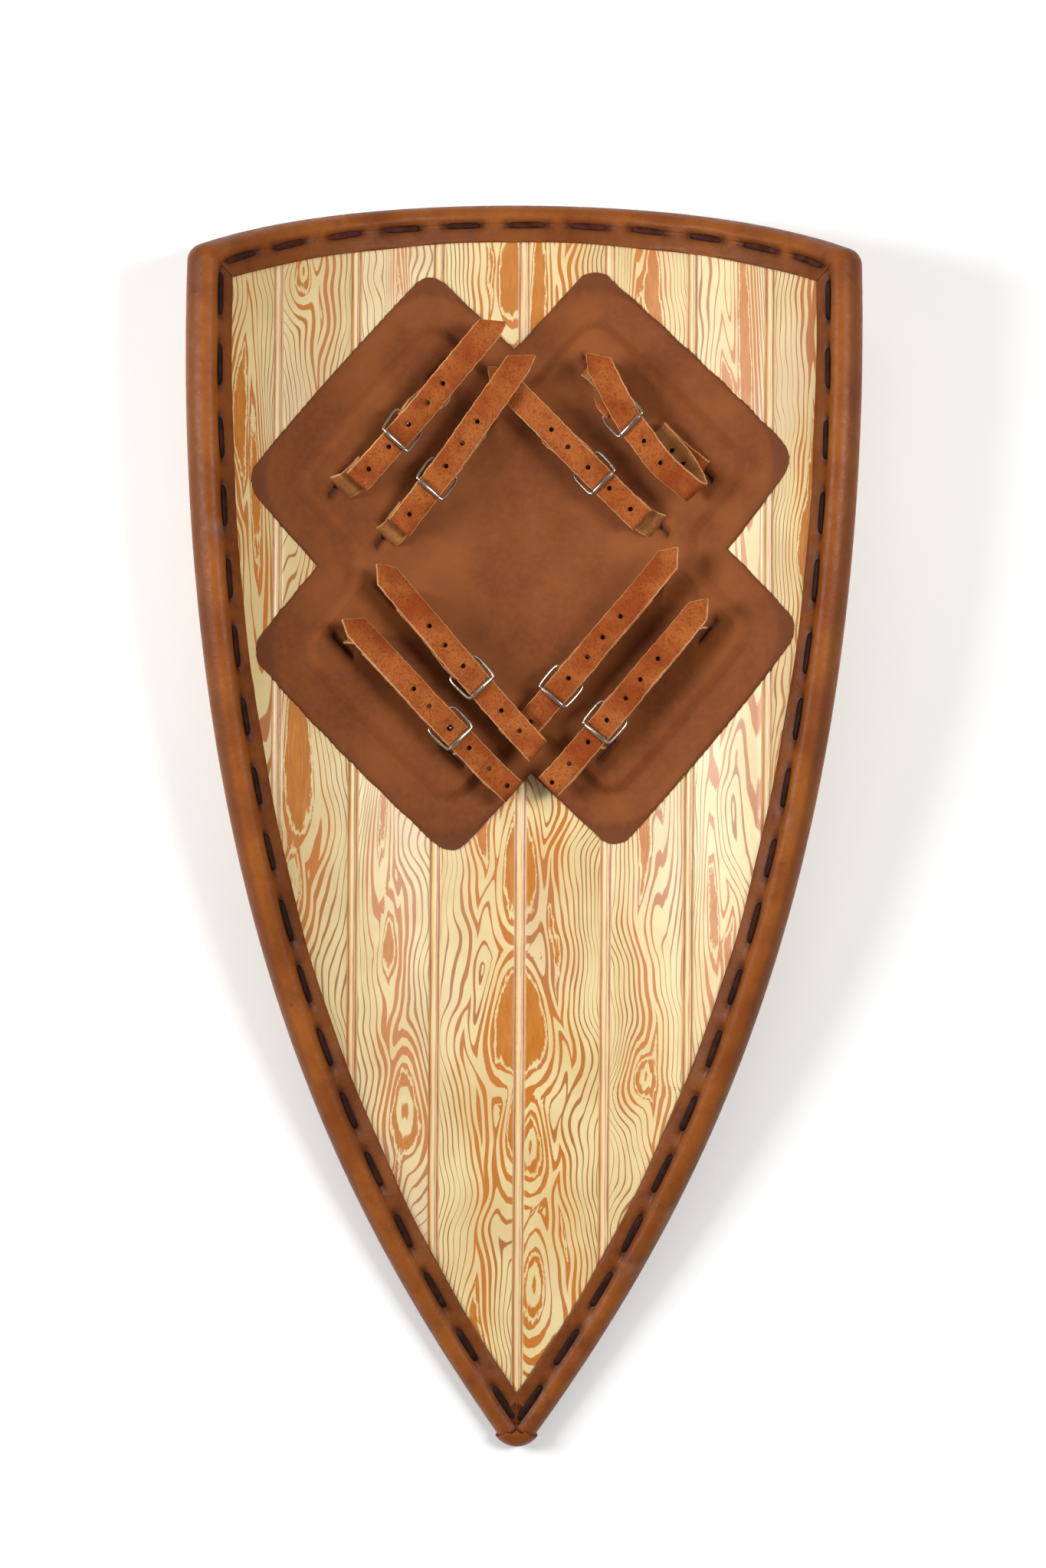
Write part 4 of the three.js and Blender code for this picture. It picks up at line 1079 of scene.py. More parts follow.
# %% Build the lace
def build_lace():
    points, faces, finishes = [], [], []
    front = FRONT_FACE - RIM_LEATHER
    for group, row in STITCHES.items():
        for i, (start, stop, inset, slant) in enumerate(row):
            rings = one_stitch(group, start, stop, inset, slant, FLANGE - LACE_SUNK, 1)
            faces += capped_tube(rings, len(points))
            points += list(rings.reshape(-1, 3))
            if i + 1 < len(row):
                next_start = row[i + 1][0]
                rings = one_stitch(group, stop, next_start, inset, -slant, front + LACE_SUNK, -1)
                faces += capped_tube(rings, len(points))
                points += list(rings.reshape(-1, 3))
        finishes += [1 if group == "top" else 0] * (len(faces) - len(finishes))
    return make_piece("rim_lace", points, faces, [LACE, WORN_LACE], face_slots=finishes)


lace = build_lace()
print("lace:", len(lace.data.polygons), "faces")

# %% [markdown]
# ## Where the pad and its slots lie
# The pad is a cross of leather over foam, turned by 47.6 degrees on the board. It is easiest to
# describe along its own two directions, so one function turns a place on the pad into a place on
# the board. Each arm of the cross has four slots, two for each of its straps.

# %% Pad placement
def on_pad(along, across):
    """The pad's own flat place as the shield's flat place."""
    cos, sin = math.cos(PAD_TURN), math.sin(PAD_TURN)
    return along * cos - across * sin, PAD_V + along * sin + across * cos


PAD_REACH = PAD_ACROSS / 2
PAD_HALF = PAD_ARM_WIDE / 2
SLOT_HALF_LONG = 13.5
SLOT_HALF_WIDE = 1.8
ARMS = {
    "upper_left": ((0, 1), (1, 0)),
    "upper_right": ((1, 0), (0, 1)),
    "lower_left": ((-1, 0), (0, 1)),
    "lower_right": ((0, -1), (1, 0)),
}


def slot_places():
    """The middle of each slot and which way it is long."""
    places = []
    for out, run in ARMS.values():
        for row in (INNER_ROW, OUTER_ROW):
            for end in (-SLOT, SLOT):
                places.append((out[0] * row + run[0] * end, out[1] * row + run[1] * end, abs(out[0]) == 1))
    return places


print("slots in the pad:", len(slot_places()))

# %% [markdown]
# ## The pad's height
# The border lies flat and the middle swells up over the foam in one step. That could be a cloth
# simulation of leather on foam, but glued leather keeps its shape, so a height that follows from
# how far inside the outline a place is gives the same form and stays the same at every run. The
# leather dips round its slots and shows a trace of the board's grooves through it.

# %% Pad height
EDGE_PLACES = (0, 0.5, 1.6)
EDGE_HEIGHTS = (GAP + 1.2, GAP + 2.4, GAP + PAD_LEATHER)
CORNER_SOFT = 55
STEP_CREASE = 0.9
SLOT_DIP = 0.9
GROOVE_TRACE = 0.35
SLOT_FLOOR_HIGH = PAD_TOP - SLOT_DEEP + 0.5


def inside_by(x, y):
    """Distance inside the cross, with rounded outer corners."""
    ax, ay = np.abs(x), np.abs(y)
    long = np.maximum(ax, ay)
    wide = np.minimum(ax, ay)
    to_end = PAD_REACH - long
    to_side = np.where(long > PAD_HALF, PAD_HALF - wide, np.hypot(PAD_HALF - ax, PAD_HALF - ay))
    soft = CORNER_SOFT
    corner = (to_end < soft) & (to_side < soft) & (long > PAD_HALF)
    rounded = soft - np.hypot(soft - to_end, soft - to_side)
    return np.where(corner, rounded, np.minimum(to_end, to_side))


def pad_height(x, y):
    inside = inside_by(x, y)
    edge = np.interp(inside, EDGE_PLACES, EDGE_HEIGHTS)
    step = smooth_step((inside - PAD_BORDER) / PAD_SLOPE)
    height = edge + PAD_RISE * step - STEP_CREASE * bell(inside - PAD_BORDER, 3.0)
    s, _ = on_pad(x, y)
    nearest = np.round(s / PLANK_PITCH) * PLANK_PITCH
    height -= GROOVE_TRACE * bell(s - nearest, 4.5) * (1 - 0.5 * step)
    # Painted shade: darker along the edge and at the foot of the raised middle
    shade = 0.5 * np.exp(-np.maximum(inside, 0) / 3.0)
    shade = np.maximum(shade, 0.25 * bell(inside - PAD_BORDER - 1, 2.5))
    for cx, cy, long_across in slot_places():
        dx, dy = np.abs(x - cx), np.abs(y - cy)
        over_long, over_wide = (dy, dx) if long_across else (dx, dy)
        past = np.hypot(np.maximum(over_long - SLOT_HALF_LONG, 0), np.maximum(over_wide - SLOT_HALF_WIDE, 0))
        cut = (over_long < SLOT_HALF_LONG + 0.01) & (over_wide < SLOT_HALF_WIDE + 0.01)
        height = np.where(cut, SLOT_FLOOR_HIGH, height - SLOT_DIP * bell(past, 4))
        # Painted shade: the slots are painted black and the leather round them darker
        shade = np.maximum(shade, np.where(cut, 1.0, 0.6 * bell(past, 2.2)))
    return height, shade


print("height at the pad's middle:", round(float(pad_height(np.zeros(1), np.zeros(1))[0][0]), 2), "mm")

# %% [markdown]
# ## The pad's grid
# Grid lines run along the edges of the slots and arms, so that slots can be pressed in sharply.
# Corners are rounded by moving the grid's corner squares onto quarter discs. Trimming the grid with
# a rounded outline would leave steps along it.

# %% Rounded corners and grid lines
LINE_PITCH = 4
EDGE_STEPS = (0, 0.6, 1.8)


def rounded_corner(x, y):
    """Moves the outer corner squares of each arm onto quarter discs."""
    ax, ay = np.abs(x), np.abs(y)
    tall = ay > ax
    long, wide = np.where(tall, ay, ax), np.where(tall, ax, ay)
    r = PAD_CORNER_RADIUS
    a = (long - (PAD_REACH - r)) / r
    c = (wide - (PAD_HALF - r)) / r
    corner = (a > 0) & (c > 0)
    size = np.hypot(a, c)
    scale = np.where(corner, np.maximum(a, c) / np.where(size > 0, size, 1), 1)
    long = np.where(corner, PAD_REACH - r + a * scale * r, long)
    wide = np.where(corner, PAD_HALF - r + c * scale * r, wide)
    new_x = np.where(tall, wide, long) * np.sign(x)
    new_y = np.where(tall, long, wide) * np.sign(y)
    return new_x, new_y


def pad_lines():
    """Grid lines along one axis: even steps, with lines at the slots' and arms' edges."""
    lines = set(np.round(np.arange(-PAD_REACH, PAD_REACH + 0.1, LINE_PITCH), 2))
    sharp = []
    for middle, half in ((SLOT, SLOT_HALF_WIDE), (INNER_ROW, SLOT_HALF_LONG), (OUTER_ROW, SLOT_HALF_LONG)):
        for side in (-1, 1):
            for edge in (-half - 0.9, -half, half, half + 0.9):
                sharp.append(side * middle + edge)
    for side in (-1, 1):
        for inwards in EDGE_STEPS:
            sharp += [side * (PAD_HALF - inwards), side * (PAD_REACH - inwards)]
    kept = [line for line in lines if min(abs(line - one) for one in sharp) > 1.2]
    return np.array(sorted(set(kept + sharp)))


print("grid lines each way:", len(pad_lines()))

# %% [markdown]
# ## The pad
# The sheet of leather gets a low wall round its edge, down to the board, so that it reads as thick
# leather. The wall follows the sheet's open edges, which are the ones that only one face uses.

# %% Build the pad
def boundary_loop(faces):
    """The vertices round the outside of a sheet of four-sided faces, in order."""
    edges = {(int(face[k]), int(face[(k + 1) % 4])) for face in faces for k in range(4)}
    follow = {a: b for a, b in edges if (b, a) not in edges}
    start = min(follow)
    loop = [start]
    while follow[loop[-1]] != start:
        loop.append(follow[loop[-1]])
    return np.array(loop)


def ragged_edge(x, y):
    """How far hand cutting left the edge from its line, in millimetres."""
    return 0.5 * np.sin(x * 0.21 + 1) * np.sin(y * 0.17) + 0.3 * np.sin(x * 0.9 + y * 0.8)


def build_pad():
    lines = pad_lines()
    x, y = np.meshgrid(lines, lines, indexing="ij")
    height, shade = pad_height(x, y)
    round_x, round_y = rounded_corner(x, y)
    near_edge = np.exp(-np.maximum(inside_by(x, y), 0) / 2.0)
    grow = 1 + near_edge * ragged_edge(round_x, round_y) / PAD_REACH
    s, v = on_pad(round_x * grow, round_y * grow)
    points = bend(s, v, height).reshape(-1, 3)
    faces = grid_faces(len(lines), len(lines))
    middles = (lines[:-1] + lines[1:]) / 2
    cx, cy = np.meshgrid(middles, middles, indexing="ij")
    kept = ((np.abs(cx) < PAD_HALF) | (np.abs(cy) < PAD_HALF)).ravel()
    faces = faces[kept]
    used = np.unique(faces)
    renumber = np.full(len(points), -1)
    renumber[used] = np.arange(len(used))
    faces = renumber[faces]
    boundary = boundary_loop(faces)
    under = bend(s.ravel()[used][boundary], v.ravel()[used][boundary], GAP)
    base = len(used)
    wall = [[boundary[i], boundary[(i + 1) % len(boundary)],
             base + (i + 1) % len(boundary), base + i] for i in range(len(boundary))]
    points = np.concatenate([points[used], under])
    faces = np.concatenate([faces, np.array(wall)])
    piece = make_piece("arm_cross", points, faces, [PAD], ("arm_pad",))
    # Painted shade for the pad's material, half dark on its edge wall
    store(piece, "pad_painted_shade", np.concatenate([shade.ravel()[used], np.full(len(under), 0.5)]))
    return piece


pad = build_pad()
print("pad:", len(pad.data.polygons), "faces")

# %% [markdown]
# ## The straps
# Eight straps hold the arm. Each is two bands of harness leather: the billet comes up out of its
# slot, folds its slack away, passes under the buckle's roller and runs over the heel to its point.
# The chape comes up out of the other slot and wraps round the heel. In the list, bar, tip and fold
# are places along a strap, counted from the middle between its slots. High, crest and tip_high are
# heights over the pad at the bar, at the arch's top and at the point. Lean is how far the strap
# drifts sideways, and point is how far its tip is cut off centre.

# %% Strap layout
STRAPS = (
    {"name": "upper_left_outer", "arm": "upper_left", "row": OUTER_ROW, "slack": "tucked",
     "bar": -15, "tip": 141, "high": 30, "crest": 37, "tip_high": 34,
     "lean": -4, "tip_lean": -8, "point": -8},
    {"name": "upper_left_inner", "arm": "upper_left", "row": INNER_ROW, "slack": "tucked",
     "bar": -21, "tip": 138, "high": 30, "crest": 38, "tip_high": 38,
     "lean": -1, "tip_lean": 12, "point": -8},
    {"name": "upper_right_inner", "arm": "upper_right", "row": INNER_ROW, "slack": "tucked",
     "bar": -15, "tip": 141, "high": 28, "crest": 32, "tip_high": 22,
     "lean": -4, "tip_lean": -7, "point": 0},
    {"name": "upper_right_outer", "arm": "upper_right", "row": OUTER_ROW, "slack": "drooping",
     "fold": -92, "bar": -4, "tip": 73, "high": 34, "crest": 39, "tip_high": 34,
     "lean": -17, "bar_lean": -10, "tip_lean": 11, "point": -5, "open_chape": True},
    {"name": "lower_left_outer", "arm": "lower_left", "row": OUTER_ROW, "slack": "folded",
     "fold": -134, "bar": -62, "tip": 100, "high": 30, "crest": 37, "tip_high": 34,
     "lean": -13, "tip_lean": -6, "point": 5, "prong_up": True},
    {"name": "lower_left_inner", "arm": "lower_left", "row": INNER_ROW, "slack": "folded",
     "fold": -127, "bar": -47, "tip": 107, "high": 35, "crest": 40, "tip_high": 36,
     "lean": 6, "tip_lean": 0, "point": 0, "fold_low": 21},
    {"name": "lower_right_inner", "arm": "lower_right", "row": INNER_ROW, "slack": "folded",
     "fold": -109, "bar": -70, "tip": 115, "high": 24, "crest": 34, "tip_high": 34,
     "lean": -6, "tip_lean": 5, "point": 0, "fold_low": 5, "fold_radius": 5},
    {"name": "lower_right_outer", "arm": "lower_right", "row": OUTER_ROW, "slack": "folded",
     "fold": -131, "bar": -63, "tip": 104, "high": 30, "crest": 37, "tip_high": 34,
     "lean": -15, "tip_lean": -1, "point": 0},
)
print("straps:", [strap["name"] for strap in STRAPS])

# %% [markdown]
# ## Sizes that all straps share
# The holes are 26 mm apart, as usual for straps this wide. The leather wraps the buckle's wire at a
# distance of half its thickness. Most bands are made narrower at their slots than the real ones
# probably are, so that the layers below stay hidden under the strap, as in the photograph.

# %% Strap sizes
HOLE_PITCH = 26
HOLE_FIRST = 4
HOLE_RADIUS = 2.1
TIP_TO_HOLE = 72
HOLE_FLOOR = 0.4
PRONG_HOLE_WIDER = 1.35
LOOP_HOLE_SHARES = (0.15, 0.95)
HOLE_CUTTER_LONG = 8
PRONG_HOLE = 13
LAYER_AIR = 4.2
LAYER = STRAP_THICK + LAYER_AIR
HEEL_DROP = 2
WRAP = WIRE_RADIUS + GAP + STRAP_THICK / 2
FRAME_AIR = 1.8
FRAME_HALF = STRAP_WIDE / 2 + FRAME_AIR + WIRE_RADIUS
BAR_SHARE = 0.86
BUCKLE_REACH = 40
BUCKLE_FADE = 25
SLOT_FLOOR = -SLOT_DEEP + GAP
CHAPE_SETTLES = 12
NECK_HALF = 6.0
NECK_SHIFT = 7.0
print(f"leather wraps the wire {WRAP:.1f} mm from its middle")

# %% [markdown]
# ## A strap's own directions
# A strap is described by t along it, u outwards along its arm and h up from the pad. Far from the
# buckle these follow the shield's bend. A real buckle is stiff and can't bend, so near it they
# are straight, and in between one passes softly into the other.

# %% A strap's own frame
class StrapFrame:
    """t runs along the strap, u outwards along its arm and h up from the pad."""

    def __init__(self, strap):
        self.strap = strap
        self.out, self.run = ARMS[strap["arm"]]
        self.start = strap.get("fold", -SLOT)
        bar, high = strap["bar"], strap["high"]
        self.bar_u = self.lean_at(bar)
        self.home = self.curved(bar, self.bar_u, high)
        along = (self.curved(bar + 1, self.bar_u, high) - self.home).normalized()
        outward = (self.curved(bar, self.bar_u + 1, high) - self.home).normalized()
        up = along.cross(outward).normalized()
        if up.z < 0:
            up.negate()
        self.along, self.up = along, up
        self.across = (outward - along * outward.dot(along)).normalized()
        self.roll_way = 1 if along.cross(self.across).dot(up) > 0 else -1
        self.heel = bar + FRAME_LONG
        self.heel_high = high - HEEL_DROP

    def lean_at(self, t):
        strap = self.strap
        places = [self.start, strap["tip"]]
        leans = [strap["lean"], strap["tip_lean"]]
        if "bar_lean" in strap:
            places.insert(1, strap["bar"])
            leans.insert(1, strap["bar_lean"])
        return strap["row"] + float(np.interp(t, places, leans))

    def curved(self, t, u, h):
        s, v = on_pad(t * self.run[0] + u * self.out[0], t * self.run[1] + u * self.out[1])
        return Vector(bend(float(s), float(v), PAD_TOP + h))

    def u_below(self, t, drop):
        """Where to be across the strap, drop millimetres lower, to stay under it as seen from above."""
        u = self.lean_at(t)
        foot = self.curved(t, u, 0)
        up = (self.curved(t, u, 1) - foot) / MM
        outward = (self.curved(t, u + 1, 0) - foot) / MM
        return u + drop * (up.x * outward.x + up.y * outward.y) / (outward.x ** 2 + outward.y ** 2)

    def at(self, t, u, h):
        bar, high = self.strap["bar"], self.strap["high"]
        rigid = (self.home + self.along * (t - bar) * MM + self.across * (u - self.bar_u) * MM
                 + self.up * (h - high) * MM)
        far = (abs(t - bar) - BUCKLE_REACH) / BUCKLE_FADE
        share = float(smooth_step(far))
        return rigid.lerp(self.curved(t, u, h), share)


print("a strap's buckle in metres:", StrapFrame(STRAPS[0]).home)

# %% [markdown]
# ## The slack of a billet
# What a billet does between its slot and the buckle differs from strap to strap. Some tuck their
# slack into a flat zigzag, some fold it back once under themselves, and one droops in a low loop.
# A physics simulation of eight threaded straps would be slow and hard to steer, so each way is a
# short list of stations to pass through, seen from the side like a wire to be bent.

# %% Ways to fold the slack
FOLD = LAYER / 2


def half_turn(t, h, radius, way, **more):
    """Three stations round half a turn, from under the centre to over it."""
    turn = []
    for angle in (-60, 0, 60):
        turn.append({"t": t + way * radius * math.cos(math.radians(angle)),
                     "h": h + radius * math.sin(math.radians(angle)), **more})
    return turn


def shifted_neck(strap, hidden):
    """Where a neck leaves its slot: towards its hidden place, as far as the slot lets it."""
    return strap["row"] + min(max(hidden - strap["row"], -NECK_SHIFT), NECK_SHIFT)


def tucked_slack(strap, own):
    """A flat zigzag: inwards, back over itself, and inwards again."""
    low = 9
    way = [{"t": -SLOT + 3.5, "h": 6.5, "drift": 0.5}, {"t": -SLOT + 20, "h": low}]
    way += half_turn(-SLOT + 26, low + FOLD, FOLD, 1)
    way += half_turn(-SLOT + 14, low + LAYER + FOLD, FOLD, -1)
    return way + [{"t": -SLOT + 24, "h": low + 2 * LAYER + 1}]


def folded_slack(strap, own):
    """Outwards under the strap, and round one fold at its end."""
    radius = strap.get("fold_radius", 7)
    low = strap.get("fold_low", 7)
    drop = strap["high"] - low
    way = [{"t": -SLOT - 3, "h": low * 0.8, "half": NECK_HALF + 1, "u": own.u_below(-SLOT, drop)},
           {"t": -SLOT - 14, "h": low + 1, "u": own.u_below(-SLOT - 14, drop)}]
    return way + half_turn(strap["fold"] + radius, low + radius, radius, -1)


def drooping_slack(strap, own):
    """Inwards, back in a low open loop, and up to the bar with a twist."""
    under, loop = 10, 9
    over = under + LAYER
    way = [{"t": -SLOT + 5, "h": 5, "drift": 0}, {"t": -SLOT + 18, "h": under - 2, "drift": 0},
           {"t": -SLOT + 40, "h": under, "drift": 0.1}]
    way += half_turn(-SLOT + 50, under + FOLD, FOLD, 1, drift=0.1)
    way += [{"t": -SLOT + 34, "h": over, "drift": 0.1, "loop_holes": True},
            {"t": -SLOT + 10, "h": over + 1, "drift": 0.2}]
    way += half_turn(strap["fold"] + loop, over + 1 + loop, loop, -1, drift=0.6, roll=14)
    return way + [{"t": (strap["fold"] + strap["bar"]) / 2, "h": strap["high"] + 4, "roll": 8}]


SLACKS = {"tucked": tucked_slack, "folded": folded_slack, "drooping": drooping_slack}
print("ways to fold the slack:", list(SLACKS))

# %% [markdown]
# ## The billet's way
# After its slack, every billet does the same: under the roller, up over the heel, along a low arch
# and down to its point, where it narrows to almost nothing.

# %% The billet's way
TIP_LONG = 15
TIP_HALF = 0.8
LONG_ARCH = 60


def billet_way(strap, own):
    """The billet's stations, and the number of the first one of its visible layer."""
    bar, tip, high = strap["bar"], strap["tip"], strap["high"]
    crest, tip_high = strap["crest"], strap["tip_high"]
    way = [{"t": -SLOT, "h": SLOT_FLOOR, "in_slot": True}, {"t": -SLOT, "h": 1.5, "in_slot": True}]
    if strap["slack"] == "folded":
        hidden = own.u_below(-SLOT, high - strap.get("fold_low", 7))
        for one in way:
            one.update(half=NECK_HALF, u=shifted_neck(strap, hidden))
    way += SLACKS[strap["slack"]](strap, own)
    top = len(way) - 1
    way += [{"t": bar - 11, "h": high - 1.2}, {"t": bar, "h": high}, {"t": bar + 12, "h": high + 1.6}]
    way += [{"t": own.heel, "h": high + 5.4}]
    rest = tip - TIP_LONG - own.heel
    if rest > LONG_ARCH:
        way += [{"t": own.heel + rest * 0.35, "h": crest}]
    way += [{"t": own.heel + rest * 0.7, "h": crest + (tip_high - crest) * 0.4}]
    way += [{"t": tip - TIP_LONG, "h": tip_high + (crest - tip_high) * 0.3}]
    way += [{"t": tip, "h": tip_high, "half": TIP_HALF, "skew": strap["point"]}]
    for one in way:
        drift = 0 if one.get("in_slot") else one.get("drift", 1)
        one.setdefault("u", strap["row"] * (1 - drift) + own.lean_at(one["t"]) * drift)
    return way, top


first_way, first_top = billet_way(STRAPS[0], StrapFrame(STRAPS[0]))
print("stations of the first billet:", len(first_way), "with the visible layer from", first_top)

# %% [markdown]
# ## The chape's way
# The chape rises from its slot to the buckle's heel, wraps round the wire and ends under the
# billet. It slides sideways on its way, so that it stays under the billet as seen from above.

# %% The chape's way
def chape_way(strap, own):
    heel, heel_high = own.heel, own.heel_high
    room = SLOT - heel
    is_open = strap.get("open_chape", False)
    neck = STRAP_WIDE / 2 if is_open else NECK_HALF
    way = [{"t": SLOT, "h": SLOT_FLOOR, "in_slot": True, "half": neck},
           {"t": SLOT, "h": 1.5, "in_slot": True, "half": neck}]
    way += [{"t": SLOT - 4, "h": 5, "half": neck}, {"t": SLOT - min(16, room * 0.3), "h": 8}]
    if room > 40:
        way += [{"t": SLOT - 26, "h": 9 + (heel_high - 12) * 26 / room}]
    if room > 70:
        way += [{"t": heel + room * 0.45, "h": 8 + (heel_high - 12) * 0.55}]
    way += [{"t": heel + 15, "h": heel_high - WRAP - 0.6}, {"t": heel + 2, "h": heel_high - WRAP}]
    way += half_turn(heel, heel_high, WRAP, -1)
    way += [{"t": heel + 2, "h": heel_high + WRAP},
            {"t": heel + 11, "h": heel_high + STRAP_THICK / 2 + GAP}]
    settles = SLOT - heel if is_open else CHAPE_SETTLES
    for one in way:
        covered = own.u_below(one["t"], strap["crest"] - one["h"])
        share = float(smooth_step((SLOT + 4 - one["t"]) / settles))
        at_buckle = float(smooth_step((heel + 35 - one["t"]) / 25))
        target = covered * (1 - at_buckle) + own.bar_u * at_buckle
        one["u"] = strap["row"] * (1 - share) + target * share
        if one.get("in_slot"):
            one["u"] = strap["row"] if is_open else shifted_neck(strap, covered)
    return way


print("stations of the first chape:", len(chape_way(STRAPS[0], StrapFrame(STRAPS[0]))))

# %% [markdown]
# ## From a few stations to a smooth curve
# Stiff leather bends in even curves. A Hermite spline through the stations does the same: between
# two of them it leaves and enters along the line through their neighbours. Blender's own curve
# objects do this too, but here the width, the roll and the point have to change along with it.

# %% Smooth the way
BAND_STEP = 2.2


def smooth_way(way, own):
    """Evenly spaced stations on a curve through the chosen ones, with widths and rolls between them."""
    keys = ("half", "skew", "roll")
    fixed = {"half": STRAP_WIDE / 2, "skew": 0.0, "roll": 0.0}
    places = [np.array([one["t"], one["u"], one["h"]]) for one in way]
    extra = [np.array([one.get(key, fixed[key]) for key in keys]) for one in way]
    made = []
    for i in range(len(way) - 1):
        before = places[max(i - 1, 0)]
        start, stop = places[i], places[i + 1]
        after = places[min(i + 2, len(way) - 1)]
        length = np.linalg.norm(stop - start)
        enter = (stop - before) * length / max(np.linalg.norm(stop - before), 1e-6)
        leave = (after - start) * length / max(np.linalg.norm(after - start), 1e-6)
        if way[i].get("in_slot") or "skew" in way[i + 1]:
            enter = leave = stop - start
        steps = max(2, int(length / BAND_STEP))
        for k in range(steps):
            x = k / steps
            place = ((2 * x ** 3 - 3 * x ** 2 + 1) * start + (x ** 3 - 2 * x ** 2 + x) * enter
                     + (-2 * x ** 3 + 3 * x ** 2) * stop + (x ** 3 - x ** 2) * leave)
            made.append((place, extra[i] * (1 - x) + extra[i + 1] * x, i + x))
    made.append((places[-1], extra[-1], len(way) - 1))
    return made


print("smooth stations of the first billet:", len(smooth_way(first_way, StrapFrame(STRAPS[0]))))

# %% [markdown]
# ## Sweeping the band
# The section is flat with rounded edges, because harness leather is edged with a small plane.
# Swept along the curve it gives the band. Its edges waver by a fraction of a millimetre, and it
# cups a little, as straps do in use.

# %% Sweep the band
EDGE_POINTS = ((-0.8, 1.0), (-0.25, 0.72), (0.0, 0.25), (0.0, -0.25), (-0.25, -0.72), (-0.8, -1.0))


def band_section(half):
    """The rounded flat section, as across and thick, starting on the upper face."""
    top = [(share * (half - 0.8), 1.0) for share in (-0.5, 0.0, 0.5)] if half > 2 else [(0, 1.0)] * 3
    right = [(max(half + inward, 0.1), thick) for inward, thick in EDGE_POINTS]
    bottom = [(x, -1.0) for x, _ in reversed(top)]
    left = [(-x, thick) for x, thick in reversed(right)]
    return np.array(top + right + bottom + left)


# Which finish each face round the section gets: upper face, right edge, lower face, left edge
SECTION_SLOTS = [0] * 3 + [2] * 5 + [1] * 4 + [2] * 5 + [0]
CUP_HIGH = 0.25


def sweep_band(own, stations, seed):
    phases = np.random.default_rng(seed).uniform(0, 6.28, 4)
    spots, wides = [], []
    for place, _, _ in stations:
        t, u, h = (float(value) for value in place)
        spot = own.at(t, u, h)
        spots.append(spot)
        wides.append((own.at(t, u + 1, h) - spot).normalized())
    rings = []
    for i, (place, extra, _) in enumerate(stations):
        half, skew, roll = extra
        tangent = (spots[min(i + 1, len(spots) - 1)] - spots[max(i - 1, 0)]).normalized()
        across = (wides[i] - tangent * wides[i].dot(tangent)).normalized()
        if roll:
            across = Matrix.Rotation(math.radians(roll) * own.roll_way, 3, tangent) @ across
        thick = tangent.cross(across).normalized()
        ragged = 0.18 * math.sin(i * 0.9 + phases[0]) + 0.14 * math.sin(i * 2.3 + phases[1])
        cup = CUP_HIGH * math.sin(i * 0.12 + phases[2])
        ring = []
        for x, y in band_section(half):
            edge = abs(x) / max(half, 1)
            out = x + skew + (ragged if edge > 0.9 else 0) * (1 if x > 0 else -1)
            rise = y * STRAP_THICK / 2 + cup * edge ** 2
            ring.append(spots[i] + (across * out + thick * rise) * MM)
        rings.append([tuple(p) for p in ring])
    return np.array(rings)


print("points round a band's section:", len(band_section(STRAP_WIDE / 2)))

# %% [markdown]
# ## The holes
# Holes are punched every 26 mm from a fixed first one, but only where the strap's top layer can be
# seen, and none lies under the roller. The prong of one strap stands up through its hole, which is
# stretched. The holes' walls are painted almost black, as painted shade.

# %% Where the holes are
def hole_places(strap, own, way, top):
    """Where the holes are along the visible layer: place, direction along and up, and radius."""
    layer = way[top:]
    places = []
    for k in range(-5, 3):
        t = HOLE_FIRST + k * HOLE_PITCH
        following = next((i for i, one in enumerate(layer) if one["t"] > t), 0)
        if following < 1 or t > strap["tip"] - TIP_TO_HOLE:
            continue
        prong_hole = strap.get("prong_up") and abs(t - strap["bar"] - PRONG_HOLE) < HOLE_PITCH / 2
        if not prong_hole and abs(t - strap["bar"]) < ROLLER_RADIUS + HOLE_RADIUS:
            continue
        where = strap["bar"] + PRONG_HOLE if prong_hole else t
        near, far = layer[following - 1], layer[following]
        share = (where - near["t"]) / (far["t"] - near["t"])
        h = near["h"] + (far["h"] - near["h"]) * share
        u = near["u"] + (far["u"] - near["u"]) * share
        wider = PRONG_HOLE_WIDER if prong_hole else 1
        places.append((own.at(where, u, h), own.at(where, u, h + 1), HOLE_RADIUS * wider))
    for near, far in zip(way, way[1:]):
        if not near.get("loop_holes"):
            continue
        for share in LOOP_HOLE_SHARES:
            t, u, h = (near[key] * (1 - share) + far[key] * share for key in ("t", "u", "h"))
            places.append((own.at(t, u, h), own.at(t, u, h + 1), HOLE_RADIUS))
    return places


print("holes of the first strap:", len(hole_places(STRAPS[0], StrapFrame(STRAPS[0]), first_way, first_top)))

# %% [markdown]
# ## Punching
# A hole could be modelled into the band's grid, but a boolean cuts a round one anywhere. Each hole
# is a short cylinder along the leather's own upward direction. It stops just before the inside, so
# the pocket shows its walls painted dark, as painted shade, and no light from below.

# %% Punch the holes
HOLE_SIDES = 14


